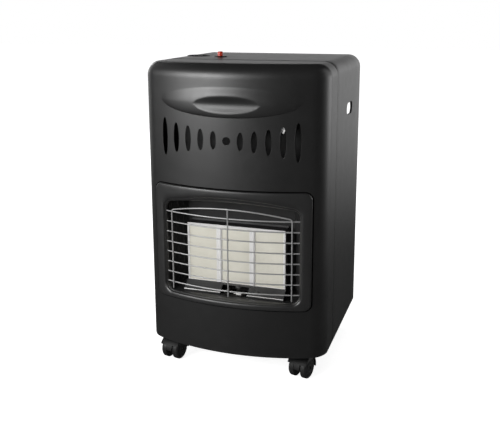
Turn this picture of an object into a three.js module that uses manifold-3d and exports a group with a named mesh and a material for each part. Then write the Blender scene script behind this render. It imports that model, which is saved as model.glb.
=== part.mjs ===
// Portable cabinet gas heater with three ceramic plaques, on four swivelling twin-wheel casters.
// Millimetres, +Z up, the bowed front facing -Y. The origin is on the floor, under the middle of the
// heater. Inside the outermost group Y is counted from the plane through the two front corners.
import * as THREE from "three";
import { mergeVertices } from "three/addons/utils/BufferGeometryUtils.js";
import { ParametricGeometry } from "three/addons/geometries/ParametricGeometry.js";
import Module from "manifold-3d";

const wasm = await Module();
wasm.setup();

// ---- Driving dimensions ----------------------------------------------------------------------

// Cabinet
const CABINET_WIDTH = 420;
const CABINET_REAR = 361; // outer face of the rear, from the plane of the front corners
const CABINET_TOP = 708;
const CABINET_BASE = 62; // lower edge of the cabinet above the floor
const FRONT_BOW = 46; // how far the middle of the front stands out beyond its corners
const EDGE_RADIUS = 30; // rounding of the cabinet's long edges
const SHEET = 0.9; // painted sheet steel
const THIN_SHEET = 0.7; // inner sheet steel
const FIT = 0.3; // gap between pieces that rest on each other

// Wrapper: the sides and the top in one sheet
const SEAM_Y = 80; // rear edge of the front panel's flange
const SEAM_GROOVE = 2.2; // open groove between the front panel and the wrapper
const JOGGLE_REACH = 12; // lip of the wrapper that reaches under the front panel
const JOGGLE_BASE = 82;
const REAR_FLANGE = 12;
const FOOT_FLANGE = 20;
const GRIP_LENGTH = 66;
const GRIP_HEIGHT = 28;
const GRIP_SETBACK = 132; // middle of a grip hole ahead of the rear face
const GRIP_DROP = 118; // and below the top
const GRIP_LIP = 5; // how far the edge of a grip hole is turned in

// Air slots over the firebox, from the middle outwards
const SLOT_PITCH = 30.1;
const SLOT_WIDTH = 13.2;
const SLOT_MIDDLE_DIAMETER = 17.5;
const SLOT_HEIGHTS = [39, 46, 56, 65.5, 84];
const SLOT_DROP = 161; // middle of the slots below the top

// Raised lens over the slots, with a pointed recess in it
const LENS_MARGIN = 52; // from the lens's point to the cabinet's side
const LENS_HALF_HEIGHT = 33;
const LENS_DROP = 79.5; // middle of the lens below the top
const LENS_RISE = 5;
const RECESS_HALF_WIDTH = 73;
const RECESS_HALF_HEIGHT = 19.5;
const RECESS_DROP = 5; // middle of the recess below the lens's middle
const RECESS_DEPTH = 6;

// Firebox surround
const SURROUND_MARGIN = 29; // from the surround to the cabinet's side
const SURROUND_RAIL = { side: 23, sill: 13.5, head: 19 }; // width of the surround round its mouth
const SURROUND_RADIUS = 16;
const SURROUND_PROUD = 5.2; // how far the surround stands out from the bow
const SURROUND_STANDOFF = 0.7; // between the bowed panel and the surround that follows it
const MOUTH_BOTTOM = 188;
const MOUTH_HEIGHT = 218; // at the corners, under the arched top
const MOUTH_ARCH = 15;
const MOUTH_RADIUS = 21;
const FUNNEL_REAR = 4;
const WINDOW_LAP = { side: 11, sill: 7.5, head: 9 }; // how far the surround laps over the panel

// Wire guard
const GUARD_WIRE = 3;
const GUARD_ROWS = 8;
const GUARD_LOW_GAP = 21; // lowest row above the mouth's edge
const GUARD_HIGH_GAP = 30.5; // highest row below the mouth's corners
const GUARD_UPRIGHT_INSET = 18.5; // outer uprights in from the mouth's sides
const GUARD_FOOT_GAP = 7;
const GUARD_ARCH_GAP = 24; // arched wire below the mouth's arch
const GUARD_BEND = 7;
const GUARD_SETBACK = 2.5; // middle of the uprights behind the bow

// Ceramic plaques and burners
const PLAQUE_FRONT = 9.9;
const PLAQUE_THICKNESS = 12;
const PLAQUE_COUNT = 3;
const PLAQUE_LIFT = 15.5; // plaque frame above the mouth's lower edge
const PLAQUE_HEIGHT = 140.5;
const PLAQUE_WINDOW = 65.5;
const PLAQUE_STRIP = 13.25; // bright strip between two plaques
const PLAQUE_SIDE_BORDER = 4.5;
const PLAQUE_END_BORDER = 5.5;
const PLAQUE_LAP = 2.5; // how far the frame laps over a plaque's edge
const BURNER_DEPTH = 23.7;
const THROAT_DIAMETER = 22;
const THROAT_BORE = 18;
const THROAT_DROP = 25.5; // throats below the plaque frame

// Firebox shell behind the surround
const SHELL_OVERLAP = 2.5; // how far the shell reaches over the surround's funnel
const SHELL_MARGIN = { side: 4.5, sill: 3.4, head: 5 }; // round the mouth
const SHELL_BACK_MARGIN = { side: 12, sill: 7.5, head: 54 }; // round the plaque frame
const PILOT_CUT = { left: -30, right: 34, clearance: 1.2, depth: 12 };

// Heat shield and baffle
const SHIELD_DROP = 68;
const BAFFLE_MARGIN = 8;
const BAFFLE_FRONT = -8;
const BAFFLE_RISE = 28;
const BAFFLE_SKIRT = 45;

// Reflecting tray under the plaques
const TRAY_MARGIN = 2; // beyond the plaque frame's sides
const TRAY_REACH = 23.9; // ahead of the plaques
const TRAY_FALL = 11; // its front edge below the plaque frame

// Injectors
const INJECTOR_PLATE_DROP = 20; // plate below the throats
const INJECTOR_SHANK = 8; // below the plate
const INJECTOR_TIP_GAP = 5; // tip below the throat
const INJECTOR = { foot: 7, shank: 4.7, tip: 2.4, taper: 5 }; // radii, and the length of its cone
const BRACKET = { overhang: 26, reach: 14, sheet: 1.5, height: 22, bore: 10 };

// Controls in the top
const CONTROL_INSET = 50; // middle of the knob from the cabinet's side
const CONTROL_SETBACK = 158; // and ahead of its rear face
const DISH_DIAMETER = 50;
const DISH_FLANGE = 3;
const DISH_DEPTH = 18;
const DISH_WALL = 1.5;
const KNOB_DIAMETER = 38;
const KNOB_PROUD = 3; // top of the knob above the cabinet's top
const KNOB_TRAVEL = 4;
const SPINDLE_DIAMETER = 7.4;
const VALVE = { width: 46, depth: 40, height: 40, outlet: 16 };
const VALVE_NECK = { radius: 8, height: 4 };
const VALVE_BOSS = { outlet: 9, inlet: 16, length: 6, pitch: 12 }; // diameters of the pipe bosses
const PLUG = { foot: 6, head: 8, drop: 10, lift: 6 }; // radii, and its ends from the valve's ends
const IGNITER_OFFSET = { x: 65, y: -23 }; // from the knob
const IGNITER_BUTTON_DIAMETER = 13;
const IGNITER_BUTTON_PROUD = 12.5;
const IGNITER_TRAVEL = 7;
const IGNITER_BEZEL_DIAMETER = 32;
const IGNITER_BARREL_DIAMETER = 20;
const IGNITER_BARREL_LENGTH = 38;
const IGNITER_CELL_LENGTH = 20;

// Gas pipes and leads
const PIPE_DIAMETER = 6;
const PILOT_PIPE_DIAMETER = 4;
const LEAD_DIAMETER = 3;
const PIPE_CLEARANCE = 4.3; // behind the heat shield
const PIPE_STEPS = { lead: 4, pilot: 8, probe: 15 }; // of the thin lines behind the burner pipes
const PIPE_BEND = 10;
const PIPE_DROPS = { burners: [34, 23, 12], pilot: 46, probe: 54, lead: 2 }; // below the injectors

// Pilot group in front of the reflecting tray
const PILOT_X = -14;
const PROBE_STEP = 12;
const SPARK_STEP = 28;
const PILOT_HEIGHT = 2; // above the tray's front edge
const PILOT_PLATE_DROP = 3.8;
const PILOT_PROUD = 1; // ahead of the tray
const PILOT_LENGTH = 25;

// Rear cover
const COVER_DROP = 208; // upper edge below the cabinet's top
const COVER_SIDE_GAP = 0.5;
const COVER_RETURN = 12;
const LOUVRE = { width: 130, height: 9, rows: 6, pitch: 34, base: 150, x: 88 };
const FINGER_SLOT = { width: 96, height: 24, drop: 26 };

// Floor tray of the bottle compartment
const FLOOR_RIM = 14;

// Casters
const STEM_INSET = 52; // from the cabinet's sides
const STEM_FRONT_Y = 38;
const STEM_SETBACK = 39; // from the rear face
const CASTER_TRAIL = 20; // wheel axis ahead of the swivel axis
const WHEEL_DIAMETER = 50;
const WHEEL_WIDTH = 15;
const WHEEL_INNER_FACE = 8.2;
const AXLE_DIAMETER = 6;
const STEM_DIAMETER = 11;
const STEM_LENGTH = 17.2;
const CASTER_PLATE = { size: 46, thickness: 2.5, radius: 6 };
const HOOD = { clearance: 1, wall: 2.5, sideClearance: 0.4, webClearance: 0.7, bossWall: 2.4, bossBase: 36 };
const CASTER_YAWS = { front_left: -8, front_right: -13, rear_left: -6, rear_right: -11 };

// ---- Sizes that follow from the driving ones -------------------------------------------------

const HALF_WIDTH = CABINET_WIDTH / 2;
const CORE_X = HALF_WIDTH - EDGE_RADIUS;
const CORE_Z = CABINET_TOP - EDGE_RADIUS;
const BOW_RADIUS = (HALF_WIDTH ** 2 + FRONT_BOW ** 2) / (2 * FRONT_BOW);
const DEPTH_MIDDLE = (CABINET_REAR - FRONT_BOW - SURROUND_PROUD) / 2;
const FLOOR_Z = CABINET_BASE + SHEET + FIT;
const GRIP_Y = CABINET_REAR - GRIP_SETBACK;
const GRIP_Z = CABINET_TOP - GRIP_DROP;
const SLOT_Z = CABINET_TOP - SLOT_DROP;
const LENS_HALF_WIDTH = HALF_WIDTH - LENS_MARGIN;
const LENS_Z = CABINET_TOP - LENS_DROP;
const RECESS_Z = LENS_Z - RECESS_DROP;

const MOUTH_SIDE_TOP = MOUTH_BOTTOM + MOUTH_HEIGHT;
const MOUTH_ARCH_TOP = MOUTH_SIDE_TOP + MOUTH_ARCH;
const SURROUND_HALF_WIDTH = HALF_WIDTH - SURROUND_MARGIN;
const SURROUND_BOTTOM = MOUTH_BOTTOM - SURROUND_RAIL.sill;
const SURROUND_TOP = MOUTH_ARCH_TOP + SURROUND_RAIL.head;
const MOUTH_HALF_WIDTH = SURROUND_HALF_WIDTH - SURROUND_RAIL.side;
const PANEL_WINDOW_HALF_WIDTH = SURROUND_HALF_WIDTH - WINDOW_LAP.side;
const PANEL_WINDOW_BOTTOM = SURROUND_BOTTOM + WINDOW_LAP.sill;
const PANEL_WINDOW_TOP = SURROUND_TOP - WINDOW_LAP.head;

const GUARD_BOTTOM_ROW = MOUTH_BOTTOM + GUARD_LOW_GAP;
const GUARD_TOP_ROW = MOUTH_SIDE_TOP - GUARD_HIGH_GAP;
const GUARD_ROW_PITCH = (GUARD_TOP_ROW - GUARD_BOTTOM_ROW) / (GUARD_ROWS - 1);
const GUARD_UPRIGHT_X = MOUTH_HALF_WIDTH - GUARD_UPRIGHT_INSET;
const GUARD_UPRIGHT_FOOT = MOUTH_BOTTOM + GUARD_FOOT_GAP;
const GUARD_SHOULDER = MOUTH_SIDE_TOP - GUARD_ARCH_GAP;
const GUARD_CROWN = MOUTH_ARCH_TOP - GUARD_ARCH_GAP;

const PLAQUE_BASE = MOUTH_BOTTOM + PLAQUE_LIFT;
const PLAQUE_TOP = PLAQUE_BASE + PLAQUE_HEIGHT;
const PLAQUE_PITCH = PLAQUE_WINDOW + PLAQUE_STRIP;
const PLAQUE_HALF_SPAN =
  PLAQUE_SIDE_BORDER + (PLAQUE_COUNT * PLAQUE_WINDOW + (PLAQUE_COUNT - 1) * PLAQUE_STRIP) / 2;
const PLAQUE_XS = Array.from({ length: PLAQUE_COUNT }, (_, i) => (i - (PLAQUE_COUNT - 1) / 2) * PLAQUE_PITCH);
const BURNER_FRONT = PLAQUE_FRONT + PLAQUE_THICKNESS + FIT;
const BURNER_REAR = BURNER_FRONT + BURNER_DEPTH;
const BURNER_Y = (BURNER_FRONT + BURNER_REAR) / 2;
const THROAT_MOUTH = PLAQUE_BASE - THROAT_DROP;
const INJECTOR_PLATE_Z = THROAT_MOUTH - INJECTOR_PLATE_DROP;
const INJECTOR_FOOT = INJECTOR_PLATE_Z - INJECTOR_SHANK;
const INJECTOR_TIP = THROAT_MOUTH - INJECTOR_TIP_GAP;

const SHELL_MOUTH_Y = FUNNEL_REAR - SHELL_OVERLAP;
const SHELL_MOUTH = {
  x: MOUTH_HALF_WIDTH + SHELL_MARGIN.side,
  bottom: MOUTH_BOTTOM - SHELL_MARGIN.sill,
  top: MOUTH_ARCH_TOP + SHELL_MARGIN.head,
};
const SHELL_BACK = {
  x: PLAQUE_HALF_SPAN + SHELL_BACK_MARGIN.side,
  bottom: PLAQUE_BASE - SHELL_BACK_MARGIN.sill,
  top: PLAQUE_TOP + SHELL_BACK_MARGIN.head,
};
const SHELL_BACK_Y = BURNER_REAR + FIT;
const SHIELD_Y = SHELL_BACK_Y + THIN_SHEET + FIT;
const SHIELD_HALF_WIDTH = HALF_WIDTH - SHEET - FIT;
const SHIELD_BASE = INJECTOR_FOOT;
const SHIELD_TOP = CABINET_TOP - SHIELD_DROP;
const BAFFLE_HALF_WIDTH = CORE_X - BAFFLE_MARGIN;
const BAFFLE_FRONT_Z = SHIELD_TOP + BAFFLE_RISE;
const TRAY_HALF_WIDTH = PLAQUE_HALF_SPAN + TRAY_MARGIN;
const TRAY_FRONT = PLAQUE_FRONT - TRAY_REACH;
const TRAY_FRONT_Z = PLAQUE_BASE - TRAY_FALL;

const CONTROL_X = CONTROL_INSET - HALF_WIDTH;
const CONTROL_Y = CABINET_REAR - CONTROL_SETBACK;
const DISH_FLOOR = CABINET_TOP - DISH_DEPTH;
const DISH_RIM_Z = CABINET_TOP + FIT;
const VALVE_TOP = DISH_FLOOR - VALVE_NECK.height;
const VALVE_BASE = VALVE_TOP - VALVE.height;
const OUTLET_Z = VALVE_BASE + VALVE.outlet;
const IGNITER_X = CONTROL_X + IGNITER_OFFSET.x;
const IGNITER_Y = CONTROL_Y + IGNITER_OFFSET.y;
const IGNITER_BARREL_BASE = CABINET_TOP - IGNITER_BARREL_LENGTH;
const IGNITER_CELL_BASE = IGNITER_BARREL_BASE - IGNITER_CELL_LENGTH;

const PIPE_Y = SHIELD_Y + SHEET + PIPE_CLEARANCE + PIPE_DIAMETER / 2;
const PILOT_Z = TRAY_FRONT_Z + PILOT_HEIGHT;
const PILOT_PLATE_Z = TRAY_FRONT_Z - PILOT_PLATE_DROP;
const PILOT_FRONT = TRAY_FRONT - PILOT_PROUD;
const PILOT_TAIL = PILOT_FRONT + PILOT_LENGTH;
const PILOT_CUT_REAR = BURNER_FRONT - PILOT_CUT.clearance;
const PILOT_CUT_FRONT = PILOT_CUT_REAR - PILOT_CUT.depth;
const PROBE_X = PILOT_X + PROBE_STEP;
const SPARK_X = PILOT_X + SPARK_STEP;

const COVER_TOP = CABINET_TOP - COVER_DROP;
const STEM_X = HALF_WIDTH - STEM_INSET;
const STEM_REAR_Y = CABINET_REAR - STEM_SETBACK;

// How far in front of the corners the bowed front lies at x (negative is forward).
const bow = (x) => BOW_RADIUS - FRONT_BOW - Math.sqrt(BOW_RADIUS ** 2 - Math.min(Math.abs(x), HALF_WIDTH) ** 2);

// ---- Finishes --------------------------------------------------------------------------------

const finishes = {
  paint: { color: 0x1d1d1f, roughness: 0.34, metalness: 0.1 },
  innerPaint: { color: 0x151515, roughness: 0.75, metalness: 0.1 },
  zinc: { color: 0x9ea1a3, roughness: 0.45, metalness: 0.85 },
  chrome: { color: 0xd8d9da, roughness: 0.15, metalness: 1 },
  bright: { color: 0xd9d8d4, roughness: 0.25, metalness: 0.95 },
  ceramic: { color: 0xd6d2c0, roughness: 0.85, metalness: 0 },
  white: { color: 0xece9e0, roughness: 0.4, metalness: 0 },
  brass: { color: 0xb08a45, roughness: 0.35, metalness: 0.9 },
  castAlloy: { color: 0x8e9092, roughness: 0.55, metalness: 0.8 },
  pipe: { color: 0xa8a9a8, roughness: 0.35, metalness: 0.85 },
  blackPlastic: { color: 0x141415, roughness: 0.4, metalness: 0 },
  red: { color: 0xc0392f, roughness: 0.3, metalness: 0 },
  insulation: { color: 0xb9302a, roughness: 0.55, metalness: 0 },
  copper: { color: 0xa5633c, roughness: 0.4, metalness: 0.9 },
  steel: { color: 0x77797c, roughness: 0.4, metalness: 0.9 },
};

// ---- Building blocks -------------------------------------------------------------------------

// A closed geometry as a solid that can be cut and joined.
function solid(geometry) {
  let plain = geometry.clone();
  plain.deleteAttribute("normal");
  plain.deleteAttribute("uv");
  plain = mergeVertices(plain, 1e-4);
  const points = plain.attributes.position.array;
  const faces = [];
  let volume = 0;
  for (let i = 0; i < plain.index.count; i += 3) {
    const [a, b, c] = [0, 1, 2].map((k) => plain.index.getX(i + k));
    if (a === b || b === c || c === a) continue;
    faces.push(a, b, c);
    const [p, q, r] = [a, b, c].map((k) => new THREE.Vector3().fromArray(points, 3 * k));
    volume += p.dot(q.cross(r));
  }
  if (volume < 0) faces.reverse();
  return new wasm.Manifold(
    new wasm.Mesh({
      numProp: 3,
      vertProperties: new Float32Array(points),
      triVerts: new Uint32Array(faces),
    }),
  );
}

// Solids and geometries joined, and one cut by others.
const join = (...pieces) => pieces.map(asSolid).reduce((a, b) => a.add(b));
const cut = (piece, ...tools) => tools.map(asSolid).reduce((a, b) => a.subtract(b), asSolid(piece));

function asSolid(piece) {
  return piece.isBufferGeometry ? solid(piece) : piece;
}

function asGeometry(piece) {
  const { vertProperties, triVerts } = asSolid(piece).getMesh();
  const geometry = new THREE.BufferGeometry();
  geometry.setAttribute("position", new THREE.BufferAttribute(new Float32Array(vertProperties), 3));
  geometry.setIndex(new THREE.BufferAttribute(new Uint32Array(triVerts), 1));
  geometry.computeVertexNormals();
  return geometry;
}

// A box between two corners.
function box(x0, x1, y0, y1, z0, z1) {
  const geometry = new THREE.BoxGeometry(x1 - x0, y1 - y0, z1 - z0);
  return geometry.translate((x0 + x1) / 2, (y0 + y1) / 2, (z0 + z1) / 2);
}

// An upright round post at (x, y).
function post(diameter, z0, z1, x = 0, y = 0, sides = 20) {
  const geometry = new THREE.CylinderGeometry(diameter / 2, diameter / 2, z1 - z0, sides);
  return geometry.rotateX(Math.PI / 2).translate(x, y, (z0 + z1) / 2);
}

// A lathe-turned piece standing at (x, y): the profile is a list of [radius, z] points.
function turned(profile, x = 0, y = 0, sides = 16) {
  const points = profile.map(([r, z]) => new THREE.Vector2(r, z));
  if (profile[0][0] > 0) points.push(points[0].clone());
  return new THREE.LatheGeometry(points, sides).rotateX(Math.PI / 2).translate(x, y, 0);
}

// A flat outline given height along Z, depth along Y or width along X.
function alongZ(shape, z0, z1, curveSegments = 12) {
  return extruded(shape, z1 - z0, curveSegments).translate(0, 0, z0);
}

function alongY(shape, y0, y1, curveSegments = 12) {
  return extruded(shape, y1 - y0, curveSegments).rotateX(Math.PI / 2).translate(0, y1, 0);
}

function alongX(shape, x0, x1, curveSegments = 12) {
  const turn = new THREE.Matrix4().makeBasis(
    new THREE.Vector3(0, 1, 0),
    new THREE.Vector3(0, 0, 1),
    new THREE.Vector3(1, 0, 0),
  );
  return extruded(shape, x1 - x0, curveSegments).applyMatrix4(turn).translate(x0, 0, 0);
}

function extruded(shape, depth, curveSegments) {
  return new THREE.ExtrudeGeometry(shape, { depth, bevelEnabled: false, steps: 1, curveSegments });
}

const outline = (points) => new THREE.Shape(points.map(([a, b]) => new THREE.Vector2(a, b)));

// A rounded rectangle: a list of four radii starts at the lower left and goes anticlockwise.
function roundedRectangle(x0, x1, y0, y1, radii) {
  const [a, b, c, d] = Array.isArray(radii) ? radii : [radii, radii, radii, radii];
  const shape = new THREE.Shape();
  shape.moveTo(x0 + a, y0);
  shape.lineTo(x1 - b, y0);
  if (b) shape.absarc(x1 - b, y0 + b, b, -Math.PI / 2, 0, false);
  shape.lineTo(x1, y1 - c);
  if (c) shape.absarc(x1 - c, y1 - c, c, 0, Math.PI / 2, false);
  shape.lineTo(x0 + d, y1);
  if (d) shape.absarc(x0 + d, y1 - d, d, Math.PI / 2, Math.PI, false);
  shape.lineTo(x0, y0 + a);
  if (a) shape.absarc(x0 + a, y0 + a, a, Math.PI, 1.5 * Math.PI, false);
  return shape;
}

// An ellipse as an outline of a given number of corners.
function ellipse(x, y, width, height, corners) {
  const points = [];
  for (let i = 0; i < corners; i++) {
    const angle = (2 * Math.PI * (i + 0.5)) / corners;
    points.push([x + (width / 2) * Math.cos(angle), y + (height / 2) * Math.sin(angle)]);
  }
  return outline(points);
}

// A path through listed points, sampled at exactly those points.
class PointPath extends THREE.Curve {
  constructor(points) {
    super();
    this.points = points.map((p) => new THREE.Vector3(...p));
  }

  getPoint(t, target = new THREE.Vector3()) {
    const place = t * (this.points.length - 1);
    const i = Math.min(Math.floor(place + 1e-6), this.points.length - 2);
    return target.lerpVectors(this.points[i], this.points[i + 1], Math.max(0, place - i));
  }

  getPointAt(t, target) {
    return this.getPoint(t, target);
  }

  getTangentAt(t, target = new THREE.Vector3()) {
    const last = this.points.length - 1;
    const i = Math.round(t * last);
    return target.subVectors(this.points[Math.min(i + 1, last)], this.points[Math.max(i - 1, 0)]).normalize();
  }
}

// A round rod or pipe along listed points.
function rod(points, diameter, sides = 8) {
  const path = new PointPath(points);
  return new THREE.ExtrudeGeometry(ellipse(0, 0, diameter, diameter, sides), {
    steps: points.length - 1,
    bevelEnabled: false,
    extrudePath: path,
  });
}

// The corners of a route rounded off, each with a bend of the same radius.
function rounded(corners, radius, steps = 3) {
  const points = corners.map((p) => new THREE.Vector3(...p));
  const route = [points[0]];
  for (let i = 1; i < points.length - 1; i++) {
    const before = points[i - 1].clone().sub(points[i]);
    const after = points[i + 1].clone().sub(points[i]);
    const reach = Math.min(radius, before.length() * 0.45, after.length() * 0.45);
    const start = points[i].clone().addScaledVector(before.normalize(), reach);
    const end = points[i].clone().addScaledVector(after.normalize(), reach);
    const bend = new THREE.QuadraticBezierCurve3(start, points[i], end);
    for (let k = 0; k <= steps; k++) route.push(bend.getPoint(k / steps));
  }
  route.push(points[points.length - 1]);
  return route.map((p) => p.toArray());
}

// A mesh with a material of its own.
function piece(parent, name, shape, finish) {
  const mesh = new THREE.Mesh(asGeometry(shape), new THREE.MeshStandardMaterial(finishes[finish]));
  mesh.name = name;
  parent.add(mesh);
  return mesh;
}

// ---- The heater ------------------------------------------------------------------------------

const heater = new THREE.Group();
const body = new THREE.Group();
body.position.y = -DEPTH_MIDDLE;
heater.add(body);

// ---- Wrapper ---------------------------------------------------------------------------------

// The cabinet's arch of sides and top, drawn in by a given amount.
function archOutline(inset, base) {
  const x = HALF_WIDTH - inset;
  const radius = EDGE_RADIUS - inset;
  return roundedRectangle(-x, x, base, CABINET_TOP - inset, [0, 0, radius, radius]);
}

// A band of the arch from one inset to a deeper one.
function archBand(inset, depth, y0, y1, base = CABINET_BASE) {
  const outer = alongY(archOutline(inset, base), y0, y1, 5);
  const inner = alongY(archOutline(inset + depth, base - 5), y0 - 1, y1 + 1, 5);
  return cut(outer, inner);
}

// A grip hole's outline in the plane of a side, as (y, z).
function gripOutline(margin) {
  const [y, z] = [GRIP_LENGTH / 2 + margin, GRIP_HEIGHT / 2 + margin];
  return roundedRectangle(GRIP_Y - y, GRIP_Y + y, GRIP_Z - z, GRIP_Z + z, z);
}

function wrapper() {
  const front = SEAM_Y + SEAM_GROOVE;
  const lipDepth = SHEET + FIT;
  const root = SHEET / 2;
  let shell = join(
    archBand(0, SHEET, front, CABINET_REAR),
    archBand(root, lipDepth + SHEET - root, front, front + 4, JOGGLE_BASE),
    archBand(lipDepth, SHEET, SEAM_Y - JOGGLE_REACH, front + 4, JOGGLE_BASE),
    archBand(root, REAR_FLANGE - root, CABINET_REAR - SHEET, CABINET_REAR),
  );
  for (const side of [-1, 1]) {
    const edge = side * (HALF_WIDTH - root);
    const [x0, x1] = [side * (HALF_WIDTH - FOOT_FLANGE), edge].sort((a, b) => a - b);
    const [l0, l1] = [side * (HALF_WIDTH - GRIP_LIP), edge].sort((a, b) => a - b);
    shell = join(
      shell,
      box(x0, x1, front, CABINET_REAR, CABINET_BASE, CABINET_BASE + SHEET),
      alongX(gripOutline(SHEET), l0, l1, 5),
    );
    shell = cut(shell, alongX(gripOutline(0), Math.min(l0, l1) - 2, Math.max(l0, l1) + 2, 5));
  }
  return cut(
    shell,
    post(DISH_DIAMETER + 2 * FIT, CABINET_TOP - 5, CABINET_TOP + 5, CONTROL_X, CONTROL_Y, 24),
    post(IGNITER_BARREL_DIAMETER + 2 * FIT, CABINET_TOP - 5, CABINET_TOP + 5, IGNITER_X, IGNITER_Y, 20),
  );
}

piece(body, "cabinet_wrapper", wrapper(), "paint");

// ---- Front panel -----------------------------------------------------------------------------

// How far the front stands out at (x, z): the raised lens with its pointed recess.
function emboss(x, z) {
  const across = x / LENS_HALF_WIDTH;
  const up = (z - LENS_Z) / LENS_HALF_HEIGHT;
  const lens = LENS_RISE * Math.sqrt(Math.max(0, 1 - across ** 2 - up ** 2));
  const reach = RECESS_HALF_HEIGHT * Math.max(0, 1 - (x / RECESS_HALF_WIDTH) ** 2);
  const inside = reach > 0 ? Math.abs(z - RECESS_Z) / reach : 2;
  return lens - (inside < 1 ? RECESS_DEPTH * (1 - inside ** 2) : 0);
}

// Grid lines: thirds of the rounded edges, and close enough over the face to carry the bow.
const arcLines = [1, 2, 3].map((k) => EDGE_RADIUS * Math.tan((k * Math.PI) / 12));
const halfLines = [25, 50, RECESS_HALF_WIDTH, 98, 122, 143, LENS_HALF_WIDTH, CORE_X];
const rightLines = [...halfLines, ...arcLines.map((a) => CORE_X + a)];
const LINES_X = [...rightLines.map((x) => -x).reverse(), 0, ...rightLines];
const LENS_LINES = [-1, -0.74, -0.42, -0.1, 0.44, 0.8, 1];

// The rounded, bowed block that the panel is drawn from; inset 0 is its outside.
function drawnBlock(inset, rear, base) {
  const linesY = [0, ...[...arcLines].reverse().slice(1).map((a) => EDGE_RADIUS - a), EDGE_RADIUS, rear];
  const linesZ = [base, ...LENS_LINES.map(() => null), CORE_Z, ...arcLines.map((a) => CORE_Z + a)];
  const [nx, ny, nz] = [LINES_X, linesY, linesZ].map((lines) => lines.length - 1);
  const geometry = new THREE.BoxGeometry(1, 1, 1, nx, ny, nz);
  const position = geometry.attributes.position;
  const radius = EDGE_RADIUS - inset;
  for (let i = 0; i < position.count; i++) {
    const x = LINES_X[Math.round((position.getX(i) + 0.5) * nx)];
    const y = linesY[Math.round((position.getY(i) + 0.5) * ny)];
    const row = Math.round((position.getZ(i) + 0.5) * nz);
    const tall = LENS_HALF_HEIGHT * Math.sqrt(Math.max(0.006, 1 - (x / LENS_HALF_WIDTH) ** 2));
    const z = linesZ[row] ?? LENS_Z + tall * LENS_LINES[row - 1];
    const core = new THREE.Vector3(
      THREE.MathUtils.clamp(x, -CORE_X, CORE_X),
      Math.max(y, EDGE_RADIUS),
      Math.min(z, CORE_Z),
    );
    const out = new THREE.Vector3(x, y, z).sub(core);
    const reach = Math.max(Math.abs(out.x), Math.abs(out.y), Math.abs(out.z)) / EDGE_RADIUS;
    const place = core.addScaledVector(out.normalize(), radius * reach);
    const forward = THREE.MathUtils.clamp((SEAM_Y - y) / (SEAM_Y - EDGE_RADIUS), 0, 1);
    place.y += bow(place.x) * forward - (y === 0 ? emboss(place.x, place.z) : 0);
    position.setXYZ(i, ...place);
  }
  return geometry;
}

function frontPanel() {
  const tools = [
    alongY(
      roundedRectangle(
        -PANEL_WINDOW_HALF_WIDTH,
        PANEL_WINDOW_HALF_WIDTH,
        PANEL_WINDOW_BOTTOM,
        PANEL_WINDOW_TOP,
        12,
      ),
      -FRONT_BOW - 20,
      EDGE_RADIUS + 10,
      3,
    ),
    alongY(ellipse(0, SLOT_Z, SLOT_MIDDLE_DIAMETER, SLOT_MIDDLE_DIAMETER, 12), -FRONT_BOW - 20, EDGE_RADIUS),
  ];
  SLOT_HEIGHTS.forEach((height, i) => {
    for (const side of [-1, 1]) {
      const slot = ellipse(side * (i + 1) * SLOT_PITCH, SLOT_Z, SLOT_WIDTH, height, 12);
      tools.push(alongY(slot, -FRONT_BOW - 20, EDGE_RADIUS));
    }
  });
  const shell = cut(drawnBlock(0, SEAM_Y, CABINET_BASE), drawnBlock(SHEET, SEAM_Y + 2, CABINET_BASE - 2));
  return cut(shell, ...tools);
}

piece(body, "front_panel", frontPanel(), "paint");

// ---- Firebox surround ------------------------------------------------------------------------

const RAIL_STEPS = 8;
const CORNER_STEPS = 4;

// One closed line round the mouth: side 0 is the surround's outer edge and side 1 the mouth's own.
function surroundLine(side) {
  const mix = (a, b) => a + (b - a) * side;
  const x = mix(SURROUND_HALF_WIDTH, MOUTH_HALF_WIDTH);
  const bottom = mix(SURROUND_BOTTOM, MOUTH_BOTTOM);
  const top = mix(SURROUND_TOP, MOUTH_SIDE_TOP);
  const crown = mix(SURROUND_TOP, MOUTH_ARCH_TOP);
  const radius = Math.max(1, mix(SURROUND_RADIUS, MOUTH_RADIUS));
  const line = [];
  const corner = (cx, cz, from) => {
    for (let i = 0; i <= CORNER_STEPS; i++) {
      const angle = from + (i / CORNER_STEPS) * (Math.PI / 2);
      line.push([cx + radius * Math.cos(angle), cz + radius * Math.sin(angle)]);
    }
  };
  const rail = (x0, x1, height) => {
    for (let i = 1; i < RAIL_STEPS; i++) {
      const at = x0 + ((x1 - x0) * i) / RAIL_STEPS;
      line.push([at, height(at)]);
    }
  };
  const reach = x - radius;
  rail(-reach, reach, () => bottom);
  corner(reach, bottom + radius, -Math.PI / 2);
  corner(reach, top - radius, 0);
  rail(reach, -reach, (at) => top + (crown - top) * (1 - (at / reach) ** 2));
  corner(-reach, top - radius, Math.PI / 2);
  corner(-reach, bottom + radius, Math.PI);
  return line;
}

// The surround's section: how far in towards the mouth, and how far behind the bow. A section point
// with `plane` set lies on that plane instead, behind the panel.
const SURROUND_SECTION = [
  { side: 0, behind: -SURROUND_STANDOFF },
  { side: 0.03, behind: -3.2 },
  { side: 0.14, behind: -5 },
  { side: 0.55, behind: -SURROUND_PROUD },
  { side: 0.88, behind: -3.6 },
  { side: 1, behind: 0.6 },
  { side: 0.985, plane: FUNNEL_REAR },
  { side: 0.935, plane: FUNNEL_REAR },
  { side: 0.945, behind: 1.4 },
  { side: 0.84, behind: -2.1 },
  { side: 0.18, behind: -3.6 },
  { side: 0.1, behind: -SURROUND_STANDOFF },
];

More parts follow.
